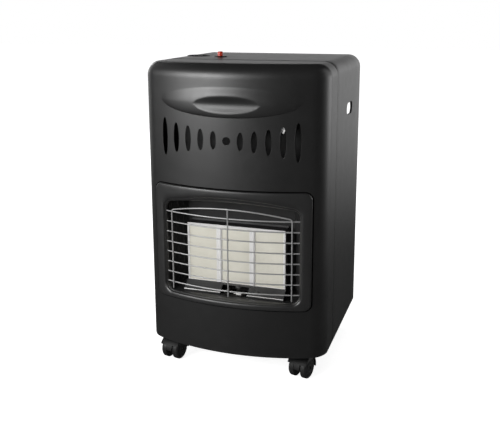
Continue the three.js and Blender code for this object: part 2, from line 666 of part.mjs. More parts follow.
function surround() {
  const lines = SURROUND_SECTION.map(({ side }) => surroundLine(side));
  const round = lines[0].length;
  const ring = SURROUND_SECTION.length;
  return new ParametricGeometry(
    (u, v, target) => {
      const i = Math.round(u * round) % round;
      const j = Math.round(v * ring) % ring;
      const [x, z] = lines[j][i];
      const { behind, plane } = SURROUND_SECTION[j];
      target.set(x, plane ?? bow(x) + behind, z);
    },
    round,
    ring,
  );
}

piece(body, "firebox_surround", surround(), "paint");

// ---- Wire guard ------------------------------------------------------------------------------

function guard() {
  const wires = [];
  const upright = (x) => bow(x) + GUARD_SETBACK;
  const rowEnd = MOUTH_HALF_WIDTH - GUARD_WIRE / 3;
  for (let row = 0; row < GUARD_ROWS; row++) {
    const z = GUARD_BOTTOM_ROW + row * GUARD_ROW_PITCH;
    const line = [];
    for (let i = 0; i <= 6; i++) {
      const x = rowEnd * (i / 3 - 1);
      line.push([x, upright(x) + GUARD_WIRE * 0.8, z]);
    }
    wires.push(rod(line, GUARD_WIRE, 6));
  }
  const frame = [[-GUARD_UPRIGHT_X, upright(GUARD_UPRIGHT_X), GUARD_UPRIGHT_FOOT]];
  const run = GUARD_UPRIGHT_X - GUARD_BEND;
  const crown = (x) => GUARD_SHOULDER + (GUARD_CROWN - GUARD_SHOULDER) * (1 - (x / run) ** 2);
  frame.push([-GUARD_UPRIGHT_X, upright(GUARD_UPRIGHT_X), GUARD_SHOULDER - GUARD_BEND]);
  frame.push([-GUARD_UPRIGHT_X + 2, upright(GUARD_UPRIGHT_X - 2), GUARD_SHOULDER - 2]);
  for (let i = 0; i <= 10; i++) {
    const x = run * (i / 5 - 1);
    frame.push([x, upright(x), crown(x)]);
  }
  frame.push([GUARD_UPRIGHT_X - 2, upright(GUARD_UPRIGHT_X - 2), GUARD_SHOULDER - 2]);
  frame.push([GUARD_UPRIGHT_X, upright(GUARD_UPRIGHT_X), GUARD_SHOULDER - GUARD_BEND]);
  frame.push([GUARD_UPRIGHT_X, upright(GUARD_UPRIGHT_X), GUARD_UPRIGHT_FOOT]);
  wires.push(rod(frame, GUARD_WIRE, 6));
  wires.push(rod([[0, upright(0), GUARD_UPRIGHT_FOOT + 2], [0, upright(0), GUARD_CROWN]], GUARD_WIRE, 6));
  return join(...wires);
}

piece(body, "guard_grille", guard(), "chrome");

// ---- Plaques, burners and injectors ----------------------------------------------------------

function plaqueFrame() {
  const front = PLAQUE_FRONT - FIT - SHEET;
  const sheet = box(-PLAQUE_HALF_SPAN, PLAQUE_HALF_SPAN, front, front + SHEET, PLAQUE_BASE, PLAQUE_TOP);
  const windows = PLAQUE_XS.map((x) =>
    box(
      x - PLAQUE_WINDOW / 2,
      x + PLAQUE_WINDOW / 2,
      front - 5,
      front + 5,
      PLAQUE_BASE + PLAQUE_END_BORDER,
      PLAQUE_TOP - PLAQUE_END_BORDER,
    ),
  );
  return cut(sheet, ...windows);
}

piece(body, "plaque_frame", plaqueFrame(), "bright");

const plaqueHalf = PLAQUE_WINDOW / 2 + PLAQUE_LAP;
const plaqueFoot = PLAQUE_BASE + PLAQUE_END_BORDER - PLAQUE_LAP;
const plaqueHead = PLAQUE_TOP - PLAQUE_END_BORDER + PLAQUE_LAP;

// A burner's pressed box, open behind its plaque, with its gas throat below.
function burner(x) {
  const wall = THIN_SHEET;
  const throat = post(THROAT_DIAMETER, THROAT_MOUTH, plaqueFoot + 2, x, BURNER_Y, 16);
  const casing = box(x - plaqueHalf, x + plaqueHalf, BURNER_FRONT, BURNER_REAR, plaqueFoot, plaqueHead);
  return cut(
    join(casing, throat),
    box(
      x - plaqueHalf + wall,
      x + plaqueHalf - wall,
      BURNER_FRONT - 5,
      BURNER_REAR - wall,
      plaqueFoot + wall,
      plaqueHead - wall,
    ),
    post(THROAT_BORE, THROAT_MOUTH - 5, plaqueFoot + 5, x, BURNER_Y, 16),
  );
}

function injector(x) {
  const plate = INJECTOR_PLATE_Z;
  return turned(
    [
      [0, INJECTOR_FOOT],
      [INJECTOR.foot, INJECTOR_FOOT],
      [INJECTOR.foot, plate - FIT],
      [INJECTOR.shank, plate - FIT],
      [INJECTOR.shank, INJECTOR_TIP - INJECTOR.taper],
      [INJECTOR.tip, INJECTOR_TIP],
      [0, INJECTOR_TIP],
    ],
    x,
    BURNER_Y,
    12,
  );
}

PLAQUE_XS.forEach((x, i) => {
  const rear = PLAQUE_FRONT + PLAQUE_THICKNESS;
  const plaque = box(x - plaqueHalf, x + plaqueHalf, PLAQUE_FRONT, rear, plaqueFoot, plaqueHead);
  piece(body, `ceramic_plaque_${i + 1}`, plaque, "ceramic");
  piece(body, `burner_body_${i + 1}`, burner(x), "zinc");
  piece(body, `injector_${i + 1}`, injector(x), "brass");
});

function injectorBracket() {
  const { overhang, reach, sheet, height, bore } = BRACKET;
  const end = PLAQUE_XS[PLAQUE_COUNT - 1] + overhang;
  const rear = SHIELD_Y - FIT;
  return cut(
    join(
      box(-end, end, BURNER_Y - reach, rear, INJECTOR_PLATE_Z, INJECTOR_PLATE_Z + sheet),
      box(-end, end, rear - sheet, rear, INJECTOR_PLATE_Z, INJECTOR_PLATE_Z + height),
    ),
    ...PLAQUE_XS.map((x) => post(bore, INJECTOR_PLATE_Z - 5, INJECTOR_PLATE_Z + 5, x, BURNER_Y, 16)),
  );
}

piece(body, "injector_bracket", injectorBracket(), "zinc");

// ---- Firebox shell, heat shield and baffle ---------------------------------------------------

// A block that tapers from the firebox mouth to its back, let out by a margin.
function taper(margin, y0, y1) {
  const slope = (y, key) => {
    const t = (y - SHELL_MOUTH_Y) / (SHELL_BACK_Y - SHELL_MOUTH_Y);
    return SHELL_MOUTH[key] + (SHELL_BACK[key] - SHELL_MOUTH[key]) * t;
  };
  const geometry = new THREE.BoxGeometry(2, 2, 2);
  const position = geometry.attributes.position;
  for (let i = 0; i < position.count; i++) {
    const y = position.getY(i) < 0 ? y0 : y1;
    const z = position.getZ(i) < 0 ? slope(y, "bottom") - margin : slope(y, "top") + margin;
    position.setXYZ(i, position.getX(i) * (slope(y, "x") + margin), y, z);
  }
  return geometry;
}

function fireboxShell() {
  const { left, right } = PILOT_CUT;
  return cut(
    taper(THIN_SHEET, SHELL_MOUTH_Y, SHELL_BACK_Y + THIN_SHEET),
    taper(0, SHELL_MOUTH_Y - 10, SHELL_BACK_Y),
    box(left, right, PILOT_CUT_FRONT, PILOT_CUT_REAR, SHELL_MOUTH.bottom - 10, SHELL_MOUTH.bottom + 12),
    ...PLAQUE_XS.map((x) => post(THROAT_DIAMETER + 3, SHELL_MOUTH.bottom, SHELL_BACK.bottom + 8, x, BURNER_Y, 16)),
  );
}

piece(body, "firebox_shell", fireboxShell(), "innerPaint");

const shield = box(-SHIELD_HALF_WIDTH, SHIELD_HALF_WIDTH, SHIELD_Y, SHIELD_Y + SHEET, SHIELD_BASE, SHIELD_TOP);
piece(body, "heat_shield", shield, "zinc");

function baffle() {
  const rear = SHIELD_Y - FIT;
  const half = BAFFLE_HALF_WIDTH;
  const profile = outline([
    [rear, SHIELD_TOP - BAFFLE_SKIRT],
    [rear, SHIELD_TOP],
    [BAFFLE_FRONT, BAFFLE_FRONT_Z],
    [BAFFLE_FRONT, BAFFLE_FRONT_Z - THIN_SHEET],
    [rear - THIN_SHEET, SHIELD_TOP - 0.8],
    [rear - THIN_SHEET, SHIELD_TOP - BAFFLE_SKIRT],
  ]);
  return alongX(profile, -half, half);
}

piece(body, "top_baffle", baffle(), "zinc");

function deflector() {
  const shelf = PLAQUE_BASE + 3 - FIT;
  const { left, right } = PILOT_CUT;
  const lap = PLAQUE_FRONT - FIT - SHEET - FIT;
  const profile = outline([
    [lap, shelf + 2],
    [TRAY_FRONT, TRAY_FRONT_Z],
    [TRAY_FRONT - 1, TRAY_FRONT_Z - 4],
    [TRAY_FRONT, TRAY_FRONT_Z - 4],
    [TRAY_FRONT + 1, TRAY_FRONT_Z - 1],
    [lap - 1.4, PLAQUE_BASE - 0.4],
    [lap, PLAQUE_BASE - 0.4],
  ]);
  const gap = box(left, right, TRAY_FRONT - 5, lap - 4, TRAY_FRONT_Z - 10, shelf + 4);
  return cut(alongX(profile, -TRAY_HALF_WIDTH, TRAY_HALF_WIDTH), gap);
}

piece(body, "lower_deflector", deflector(), "bright");

// ---- Controls --------------------------------------------------------------------------------

const dishRadius = DISH_DIAMETER / 2;
const dish = turned(
  [
    [5.5, DISH_FLOOR],
    [dishRadius, DISH_FLOOR],
    [dishRadius, DISH_RIM_Z],
    [dishRadius + DISH_FLANGE, DISH_RIM_Z],
    [dishRadius + DISH_FLANGE - 0.6, DISH_RIM_Z + 1.2],
    [dishRadius - DISH_WALL + 0.5, DISH_RIM_Z + 1.2],
    [dishRadius - DISH_WALL, DISH_RIM_Z],
    [dishRadius - DISH_WALL, DISH_FLOOR + DISH_WALL],
    [5.5, DISH_FLOOR + DISH_WALL],
  ],
  CONTROL_X,
  CONTROL_Y,
  24,
);
piece(body, "control_dish", dish, "blackPlastic");

const knobTop = CABINET_TOP + KNOB_PROUD;
const knobBase = DISH_FLOOR + DISH_WALL + KNOB_TRAVEL + 1;
const spindleTop = knobTop - 6;

function knob() {
  const radius = KNOB_DIAMETER / 2;
  const cap = turned(
    [
      [0, knobBase],
      [radius - 1, knobBase],
      [radius, knobBase + 2],
      [radius - 0.8, knobTop - 6],
      [radius - 3, knobTop - 5],
      [0, knobTop - 5],
    ],
    CONTROL_X,
    CONTROL_Y,
    20,
  );
  const grip = box(
    CONTROL_X - 4,
    CONTROL_X + 4,
    CONTROL_Y - radius + 2,
    CONTROL_Y + radius - 2,
    knobTop - 7,
    knobTop,
  );
  const bore = post(SPINDLE_DIAMETER + 2 * FIT, knobBase - 2, spindleTop + FIT, CONTROL_X, CONTROL_Y, 16);
  return cut(join(cap, grip), bore);
}

piece(body, "control_knob", knob(), "blackPlastic");

const plugTop = VALVE_TOP - PLUG.drop;
const plugBase = VALVE_BASE + PLUG.lift;
const spindleFoot = plugTop - 3;
const spindle = turned(
  [
    [0, spindleFoot],
    [SPINDLE_DIAMETER / 2, spindleFoot],
    [SPINDLE_DIAMETER / 2, spindleTop - 1],
    [SPINDLE_DIAMETER / 2 - 1, spindleTop],
    [0, spindleTop],
  ],
  CONTROL_X,
  CONTROL_Y,
  16,
);
piece(body, "valve_spindle", spindle, "steel");

const plugBoreFoot = spindleFoot - KNOB_TRAVEL - 1;
const plug = turned(
  [
    [0, plugBase],
    [PLUG.foot, plugBase],
    [PLUG.head, plugTop],
    [SPINDLE_DIAMETER / 2 + FIT, plugTop],
    [SPINDLE_DIAMETER / 2 + FIT, plugBoreFoot],
    [0, plugBoreFoot],
  ],
  CONTROL_X,
  CONTROL_Y,
  16,
);
piece(body, "tap_plug", plug, "brass");

const outletXs = [-1, 0, 1].map((k) => CONTROL_X + k * VALVE_BOSS.pitch);
const outletY = CONTROL_Y - VALVE.depth / 2 - VALVE_BOSS.length;
const inletY = CONTROL_Y + VALVE.depth / 2 + VALVE_BOSS.length;

// A round boss lying along Y.
function bossAlongY(diameter, x, z, y0, y1, sides = 10) {
  return new THREE.CylinderGeometry(diameter / 2, diameter / 2, y1 - y0, sides).translate(x, (y0 + y1) / 2, z);
}

function valveBody() {
  const { width, depth } = VALVE;
  const shape = roundedRectangle(
    CONTROL_X - width / 2,
    CONTROL_X + width / 2,
    CONTROL_Y - depth / 2,
    CONTROL_Y + depth / 2,
    5,
  );
  const neckTop = DISH_FLOOR - FIT;
  return cut(
    join(
      alongZ(shape, VALVE_BASE, VALVE_TOP, 3),
      post(2 * VALVE_NECK.radius, VALVE_TOP - 2, neckTop, CONTROL_X, CONTROL_Y, 20),
      ...outletXs.map((x) => bossAlongY(VALVE_BOSS.outlet, x, OUTLET_Z, outletY, CONTROL_Y - depth / 2 + 2)),
      bossAlongY(VALVE_BOSS.inlet, CONTROL_X, OUTLET_Z, CONTROL_Y + depth / 2 - 2, inletY, 16),
    ),
    turned(
      [
        [0, plugBase - FIT],
        [PLUG.foot + FIT, plugBase - FIT],
        [PLUG.head + FIT, plugTop + FIT],
        [0, plugTop + FIT],
      ],
      CONTROL_X,
      CONTROL_Y,
      16,
    ),
    post(SPINDLE_DIAMETER + 4 * FIT, plugTop - 1, neckTop + 2, CONTROL_X, CONTROL_Y, 16),
  );
}

piece(body, "gas_valve_body", valveBody(), "castAlloy");

// The hose nozzle on the valve's rear, ribbed for a clamped hose.
const nozzleProfile = [[0, 0], [6, 0], [6, 9], [4, 10], [4, 14]];
for (let rib = 0; rib < 3; rib++) nozzleProfile.push([5.2, 16 + rib * 6], [4, 20 + rib * 6]);
nozzleProfile.push([0, 34]);
const nozzle = new THREE.LatheGeometry(
  nozzleProfile.map(([r, y]) => new THREE.Vector2(r, y)),
  12,
).translate(CONTROL_X, inletY + FIT, OUTLET_Z);
piece(body, "hose_nozzle", nozzle, "brass");

const bezelRadius = IGNITER_BEZEL_DIAMETER / 2;
const buttonRadius = IGNITER_BUTTON_DIAMETER / 2;
const barrelRadius = IGNITER_BARREL_DIAMETER / 2;
const buttonTop = CABINET_TOP + IGNITER_BUTTON_PROUD;
const buttonFoot = CABINET_TOP - 6;

// The bezel and threaded barrel of the igniter in one moulding, open above for the button.
const bezel = turned(
  [
    [0, IGNITER_BARREL_BASE],
    [barrelRadius, IGNITER_BARREL_BASE],
    [barrelRadius, CABINET_TOP + FIT],
    [bezelRadius, CABINET_TOP + FIT],
    [bezelRadius - 1.5, CABINET_TOP + 2],
    [buttonRadius + 1.8, CABINET_TOP + 2.4],
    [buttonRadius + FIT, CABINET_TOP + 1.4],
    [buttonRadius + FIT, buttonFoot - IGNITER_TRAVEL - 1],
    [0, buttonFoot - IGNITER_TRAVEL - 1],
  ],
  IGNITER_X,
  IGNITER_Y,
  18,
);
piece(body, "igniter_bezel", bezel, "blackPlastic");

const button = turned(
  [
    [0, buttonFoot],
    [buttonRadius, buttonFoot],
    [buttonRadius, buttonTop - 1.6],
    [buttonRadius - 1.6, buttonTop],
    [0, buttonTop],
  ],
  IGNITER_X,
  IGNITER_Y,
  16,
);
piece(body, "igniter_button", button, "red");

const nutTop = CABINET_TOP - SHEET - FIT;
const nut = turned(
  [
    [barrelRadius + FIT, nutTop - 7],
    [barrelRadius + 4, nutTop - 7],
    [barrelRadius + 4, nutTop],
    [barrelRadius + FIT, nutTop],
  ],
  IGNITER_X,
  IGNITER_Y,
  6,
);
const nutBore = post(IGNITER_BARREL_DIAMETER + 2 * FIT, nutTop - 9, nutTop + 2, IGNITER_X, IGNITER_Y, 18);
piece(body, "igniter_nut", cut(nut, nutBore), "zinc");

const piezo = turned(
  [
    [0, IGNITER_CELL_BASE],
    [4, IGNITER_CELL_BASE],
    [7, IGNITER_CELL_BASE + 6],
    [7, IGNITER_BARREL_BASE - FIT],
    [0, IGNITER_BARREL_BASE - FIT],
  ],
  IGNITER_X,
  IGNITER_Y,
  16,
);
piece(body, "igniter_cell", piezo, "white");

// ---- Pilot group -----------------------------------------------------------------------------

const pilotRear = PILOT_CUT_FRONT - 3;
const shellFloor = (y) =>
  SHELL_MOUTH.bottom +
  ((SHELL_BACK.bottom - SHELL_MOUTH.bottom) * (y - SHELL_MOUTH_Y)) / (SHELL_BACK_Y - SHELL_MOUTH_Y);
const [plateLeft, plateRight] = [PILOT_X - 7, SPARK_X + 8];
const plateTopZ = PILOT_PLATE_Z + THIN_SHEET;
const sparkZ = plateTopZ + FIT + 3;
const pilotPlate = join(
  box(plateLeft, plateRight, PILOT_FRONT - 2, pilotRear, PILOT_PLATE_Z, plateTopZ),
  box(plateLeft, plateRight, pilotRear - THIN_SHEET, pilotRear, shellFloor(pilotRear) + FIT, plateTopZ),
);
piece(body, "pilot_bracket", pilotPlate, "steel");

const pilotHead = bossAlongY(9, PILOT_X, PILOT_Z, PILOT_FRONT, PILOT_TAIL, 14);
const pilotBore = bossAlongY(6, PILOT_X, PILOT_Z, PILOT_FRONT - 2, PILOT_FRONT + 7, 12);
const pilotPort = box(PILOT_X - 2, PILOT_X + 2, PILOT_FRONT + 2, PILOT_FRONT + 5, PILOT_Z, PILOT_Z + 10);
piece(body, "pilot_burner", cut(pilotHead, pilotBore, pilotPort), "steel");

// The spark electrode's ceramic sleeve lies across the heater, its wire pointing at the pilot.
const sparkY = PILOT_FRONT + 4;
const spark = new THREE.LatheGeometry(
  [[0, -12], [0.8, -12], [0.8, -6], [2.4, -6], [3, -4.6], [3, 3], [2.4, 5.5], [0, 5.5]].map(
    ([r, y]) => new THREE.Vector2(r, y),
  ),
  12,
)
  .rotateZ(-Math.PI / 2)
  .translate(SPARK_X, sparkY, sparkZ);
piece(body, "spark_electrode", spark, "white");

// ---- Pipes and leads -------------------------------------------------------------------------

PLAQUE_XS.forEach((x, i) => {
  const level = INJECTOR_FOOT - PIPE_DROPS.burners[i];
  const route = [
    [outletXs[i], outletY - FIT, OUTLET_Z],
    [outletXs[i], PIPE_Y, OUTLET_Z],
    [outletXs[i], PIPE_Y, level],
    [x, PIPE_Y, level],
    [x, BURNER_Y, level],
    [x, BURNER_Y, INJECTOR_FOOT - FIT],
  ];
  piece(body, `gas_pipe_${i + 1}`, rod(rounded(route, PIPE_BEND), PIPE_DIAMETER), "pipe");
});

const pilotRise = (PILOT_CUT_FRONT + PILOT_CUT_REAR) / 2;
const pilotLine = { y: PIPE_Y + PIPE_STEPS.pilot, level: INJECTOR_FOOT - PIPE_DROPS.pilot };
const pilotRoute = [
  [CONTROL_X + 14, CONTROL_Y, VALVE_BASE - FIT],
  [CONTROL_X + 14, CONTROL_Y, VALVE_BASE - 24],
  [CONTROL_X + 24, pilotLine.y, VALVE_BASE - 24],
  [CONTROL_X + 24, pilotLine.y, pilotLine.level],
  [PILOT_X, pilotLine.y, pilotLine.level],
  [PILOT_X, pilotRise, pilotLine.level],
  [PILOT_X, pilotRise, PILOT_Z],
  [PILOT_X, PILOT_TAIL + FIT, PILOT_Z],
];
piece(body, "pilot_pipe", rod(rounded(pilotRoute, 8, 2), PILOT_PIPE_DIAMETER, 6), "pipe");

const probeLine = { y: PIPE_Y + PIPE_STEPS.probe, level: INJECTOR_FOOT - PIPE_DROPS.probe };
const probeRoute = [
  [CONTROL_X + 4, CONTROL_Y, VALVE_BASE - FIT],
  [CONTROL_X + 4, CONTROL_Y, VALVE_BASE - 34],
  [CONTROL_X + 32, probeLine.y, VALVE_BASE - 34],
  [CONTROL_X + 32, probeLine.y, probeLine.level],
  [PROBE_X, probeLine.y, probeLine.level],
  [PROBE_X, pilotRise, probeLine.level],
  [PROBE_X, pilotRise, PILOT_Z],
  [PROBE_X, PILOT_FRONT + 1, PILOT_Z],
];
piece(body, "thermocouple", rod(rounded(probeRoute, 8, 2), LEAD_DIAMETER, 6), "copper");

const leadLine = { y: PIPE_Y + PIPE_STEPS.lead, level: INJECTOR_FOOT - PIPE_DROPS.lead };
const leadRise = PILOT_CUT.right - 6;
const leadRoute = [
  [IGNITER_X, IGNITER_Y, IGNITER_CELL_BASE - FIT],
  [IGNITER_X, IGNITER_Y, IGNITER_CELL_BASE - 30],
  [IGNITER_X + 24, leadLine.y, IGNITER_CELL_BASE - 60],
  [IGNITER_X + 24, leadLine.y, leadLine.level],
  [leadRise, leadLine.y, leadLine.level],
  [leadRise, pilotRise, leadLine.level],
  [leadRise, pilotRise, sparkZ],
  [leadRise, sparkY, sparkZ],
  [SPARK_X + 5.5 + FIT, sparkY, sparkZ],
];
piece(body, "ignition_lead", rod(rounded(leadRoute, 8, 2), LEAD_DIAMETER, 6), "insulation");

// ---- Floor tray and rear cover ---------------------------------------------------------------

// The floor's outline, which follows the inside of the bowed front.
function floorOutline(inset) {
  const radius = EDGE_RADIUS - inset;
  const end = CORE_X + radius;
  const points = [];
  const bowed = [1, 0.75, 0.5, 0.25, 0].map((part) => CORE_X * part);
  const xs = [end, CORE_X + radius * 0.87, CORE_X + radius * 0.5, ...bowed];
  for (const x of [...xs.map((v) => -v), ...xs.slice(0, -1).reverse()]) {
    const beyond = Math.max(0, Math.abs(x) - CORE_X);
    points.push([x, bow(x) + EDGE_RADIUS - Math.sqrt(Math.max(0, radius ** 2 - beyond ** 2))]);
  }
  const rear = CABINET_REAR - inset;
  points.push([end, rear], [-end, rear]);
  return outline(points);
}

const floor = cut(
  alongZ(floorOutline(SHEET + FIT), FLOOR_Z, FLOOR_Z + FLOOR_RIM),
  alongZ(floorOutline(2 * SHEET + FIT), FLOOR_Z + SHEET, FLOOR_Z + FLOOR_RIM + 5),
);
piece(body, "floor_tray", floor, "paint");

function rearCover() {
  const half = HALF_WIDTH - REAR_FLANGE - COVER_SIDE_GAP;
  const front = CABINET_REAR - THIN_SHEET;
  const returnBase = FLOOR_Z + FLOOR_RIM + 3;
  const louvres = [];
  for (let row = 0; row < LOUVRE.rows; row++) {
    const z = LOUVRE.base + row * LOUVRE.pitch;
    for (const x of [-LOUVRE.x, LOUVRE.x]) {
      louvres.push(box(x - LOUVRE.width / 2, x + LOUVRE.width / 2, front - 5, front + 5, z, z + LOUVRE.height));
    }
  }
  const { width, height, drop } = FINGER_SLOT;
  const z = COVER_TOP - drop;
  const fingers = alongY(
    roundedRectangle(-width / 2, width / 2, z - height / 2, z + height / 2, height / 2),
    front - 5,
    front + 5,
    5,
  );
  const blank = box(-half, half, CABINET_REAR - COVER_RETURN, CABINET_REAR, FLOOR_Z, COVER_TOP);
  const inside = box(-half + THIN_SHEET, half - THIN_SHEET, front - 50, front, FLOOR_Z - 5, COVER_TOP - THIN_SHEET);
  const feet = box(-half - 5, half + 5, front - 50, front, FLOOR_Z - 5, returnBase);
  return cut(blank, inside, feet, ...louvres, fingers);
}

piece(body, "rear_cover", rearCover(), "paint");

// ---- Casters ---------------------------------------------------------------------------------

const axleZ = WHEEL_DIAMETER / 2;
const axleEnd = WHEEL_INNER_FACE + WHEEL_WIDTH - 2.5;
const plateTop = FLOOR_Z - FIT;
const stemFoot = plateTop - STEM_LENGTH;

// A caster's mounting plate with its stem, which stay still.
function casterPlate() {
  const { size, thickness, radius } = CASTER_PLATE;
  return join(
    alongZ(roundedRectangle(-size / 2, size / 2, -size / 2, size / 2, radius), plateTop - thickness, plateTop, 2),
    post(STEM_DIAMETER, stemFoot, plateTop - 1, 0, 0, 14),
  );
}

// A caster's hood: a web between the wheels and a cover over them, round the stem.
function casterHood() {
  const inner = WHEEL_DIAMETER / 2 + HOOD.clearance;
  const outer = inner + HOOD.wall;
  const side = WHEEL_INNER_FACE + WHEEL_WIDTH + HOOD.sideClearance;
  const web = WHEEL_INNER_FACE - HOOD.webClearance;
  const boss = STEM_DIAMETER / 2 + HOOD.bossWall;
  const cover = new THREE.Shape();
  const [from, to] = [THREE.MathUtils.degToRad(-12), THREE.MathUtils.degToRad(150)];
  cover.absarc(-CASTER_TRAIL, axleZ, outer, from, to, false);
  cover.absarc(-CASTER_TRAIL, axleZ, inner, to, from, true);
  const disc = new THREE.Shape();
  disc.absarc(-CASTER_TRAIL, axleZ, inner + 0.5, from - 0.6, to + 0.5, false);
  disc.absarc(-CASTER_TRAIL, axleZ, 8, to + 0.9, from - 0.9 + 2 * Math.PI, false);
  const bossTop = plateTop - CASTER_PLATE.thickness - 1;
  return cut(
    join(
      alongX(cover, -side, side, 8),
      alongX(disc, -web, web, 6),
      post(2 * boss, HOOD.bossBase, bossTop, 0, 0, 14),
      box(-web, web, -CASTER_TRAIL, 0, axleZ + 4, HOOD.bossBase + 8),
    ),
    post(STEM_DIAMETER + 2 * FIT, stemFoot - 1, bossTop + 5, 0, 0, 14),
    axleAlongX(AXLE_DIAMETER + 2 * FIT, side + 5),
  );
}

// A round rod on the wheels' axis, reaching equally to both sides.
function axleAlongX(diameter, reach, sides = 12) {
  const geometry = new THREE.CylinderGeometry(diameter / 2, diameter / 2, 2 * reach, sides);
  return geometry.rotateZ(Math.PI / 2).translate(0, -CASTER_TRAIL, axleZ);
}

// A caster wheel about the axle, with a domed outer face and a bore.
function wheel(side) {
  const radius = WHEEL_DIAMETER / 2;
  const bore = AXLE_DIAMETER / 2 + FIT;
  const profile = [
    [bore, WHEEL_INNER_FACE],
    [radius, WHEEL_INNER_FACE],
    [radius, WHEEL_INNER_FACE + WHEEL_WIDTH - 5],
    [radius - 2.5, WHEEL_INNER_FACE + WHEEL_WIDTH - 2],
    [radius - 9, WHEEL_INNER_FACE + WHEEL_WIDTH],
    [bore + 3, WHEEL_INNER_FACE + WHEEL_WIDTH],
    [bore, WHEEL_INNER_FACE + WHEEL_WIDTH - 1.5],
  ].map(([r, x]) => new THREE.Vector2(r, x * side));
  profile.push(profile[0].clone());
  return new THREE.LatheGeometry(profile, 18).rotateZ(-Math.PI / 2).translate(0, -CASTER_TRAIL, axleZ);
}

for (const [corner, yaw] of Object.entries(CASTER_YAWS)) {
  const name = `caster_${corner}`;
  const x = corner.endsWith("left") ? -STEM_X : STEM_X;
  const y = corner.startsWith("front") ? STEM_FRONT_Y : STEM_REAR_Y;
  const mount = new THREE.Group();
  mount.position.set(x, y, 0);
  body.add(mount);
  piece(mount, `${name}_plate`, casterPlate(), "steel");
  const swivel = new THREE.Group();
  swivel.rotation.z = THREE.MathUtils.degToRad(yaw);
  mount.add(swivel);
  piece(swivel, `${name}_hood`, casterHood(), "blackPlastic");
  piece(swivel, `${name}_axle`, axleAlongX(AXLE_DIAMETER, axleEnd), "steel");
  piece(swivel, `${name}_wheel_left`, wheel(-1), "blackPlastic");
  piece(swivel, `${name}_wheel_right`, wheel(1), "blackPlastic");
}

export default heater;
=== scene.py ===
"""A portable cabinet gas heater, dressed round its fixed frame.

Shapes are drawn in millimetres: X = 0 in the middle, Y = 0 on the plane through the two front
corners, with the front facing -Y, and Z = 0 on the floor. `place` turns them into metres in the
frame's own axes.
"""
import math

import bmesh
import bpy
from mathutils import Matrix, Vector


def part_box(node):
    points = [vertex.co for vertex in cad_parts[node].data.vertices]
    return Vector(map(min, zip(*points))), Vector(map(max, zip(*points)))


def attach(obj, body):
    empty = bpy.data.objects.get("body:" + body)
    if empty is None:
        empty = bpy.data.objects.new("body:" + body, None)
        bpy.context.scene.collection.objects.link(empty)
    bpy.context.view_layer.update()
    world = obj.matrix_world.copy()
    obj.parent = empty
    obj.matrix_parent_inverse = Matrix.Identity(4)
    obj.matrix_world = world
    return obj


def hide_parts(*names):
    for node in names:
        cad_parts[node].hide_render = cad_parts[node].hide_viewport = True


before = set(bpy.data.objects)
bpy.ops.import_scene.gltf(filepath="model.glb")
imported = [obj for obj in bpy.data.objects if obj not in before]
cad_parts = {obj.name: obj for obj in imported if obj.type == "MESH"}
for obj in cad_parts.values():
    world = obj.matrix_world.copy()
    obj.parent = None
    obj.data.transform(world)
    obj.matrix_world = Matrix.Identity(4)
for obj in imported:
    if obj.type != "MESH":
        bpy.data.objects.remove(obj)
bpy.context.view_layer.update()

# ---- Sizes in millimetres ----

MM = 0.001

# Read from the frame
wrapper_low, wrapper_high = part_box("cabinet_wrapper")
HALF_WIDTH = wrapper_high.x / MM
CABINET_BASE = wrapper_low.z / MM
CABINET_TOP = wrapper_high.z / MM
CABINET_REAR = 361
Y_SHIFT = CABINET_REAR - wrapper_high.y / MM

# Cabinet
FRONT_BOW = 46
EDGE_RADIUS = 30
SHEET = 0.9
THIN_SHEET = 0.7
FIT = 0.3
SEAM_Y = 80
SEAM_GROOVE = 2.2
JOGGLE_REACH = 12
JOGGLE_BASE = 82
REAR_FLANGE = 12
REAR_EDGE = 1.4
FOOT_FLANGE = 20
GRIP = {"length": 66, "height": 28, "y": 229, "z": 590, "lip": 5, "round": 1.6}

# Front panel
SLOT_PITCH = 30.1
SLOT_WIDTH = 13.2
SLOT_MIDDLE_DIAMETER = 17.5
SLOT_HEIGHTS = [39, 46, 56, 65.5, 84]
SLOT_Z = 547
LENS = {"x": 155.5, "z": 33, "sliver": 0.006, "middle": 628.5, "rise": 5, "round": 0.55, "soften": 1.2}
RECESS = {"x": 73, "z": 19.5, "sliver": 0.004, "drop": 5, "depth": 6, "across": 0.95, "up": 1.5}
PANEL_THROUGH = (-66, 40)  # depths between which its openings are cut

# Firebox
SURROUND = {"x": 181, "bottom": 174.5, "top": 440, "crown": 440, "radius": 16}
MOUTH = {"x": 158, "bottom": 188, "top": 406, "crown": 421, "radius": 21}
THROAT = {"x": 3.5, "bottom": -2.2, "top": 6, "crown": 9, "radius": 3.5}  # how far it is drawn in
FUNNEL_REAR = 4
# how far the painted shadow ring reaches out past the surround's outer edge
SHADOW_RING_WIDTH = 2.4
PANEL_WINDOW = {"x": 170, "bottom": 182, "top": 431, "radius": 12}
GUARD_WIRE = 3
GUARD_ROWS = 8
GUARD_TOP_ROW = 375.5
GUARD_BOTTOM_ROW = 209
GUARD_UPRIGHT_X = 139.5
GUARD_FOOT = 195
GUARD_SHOULDER = 382
GUARD_CROWN = 397
GUARD_BEND = 7
GUARD_SETBACK = 2.5
PLAQUE_FRONT = 9.9
PLAQUE_THICKNESS = 12
PLAQUE_BASE = 203.5
PLAQUE_TOP = 344
PLAQUE_WINDOW = 65.5
PLAQUE_STRIP = 13.25
PLAQUE_SIDE_BORDER = 4.5
PLAQUE_END_BORDER = 5.5
PLAQUE_LAP = 2.5
PLAQUE_XS = [(i - 1) * (PLAQUE_WINDOW + PLAQUE_STRIP) for i in range(3)]
PLAQUE_HALF_SPAN = PLAQUE_SIDE_BORDER + 1.5 * PLAQUE_WINDOW + PLAQUE_STRIP
TRAY_HALF_WIDTH = 118
TRAY_FRONT = -14
TRAY_FRONT_Z = 192.5
TRAY_BEAD = 1.9
PILOT_GAP = (-30, 34)
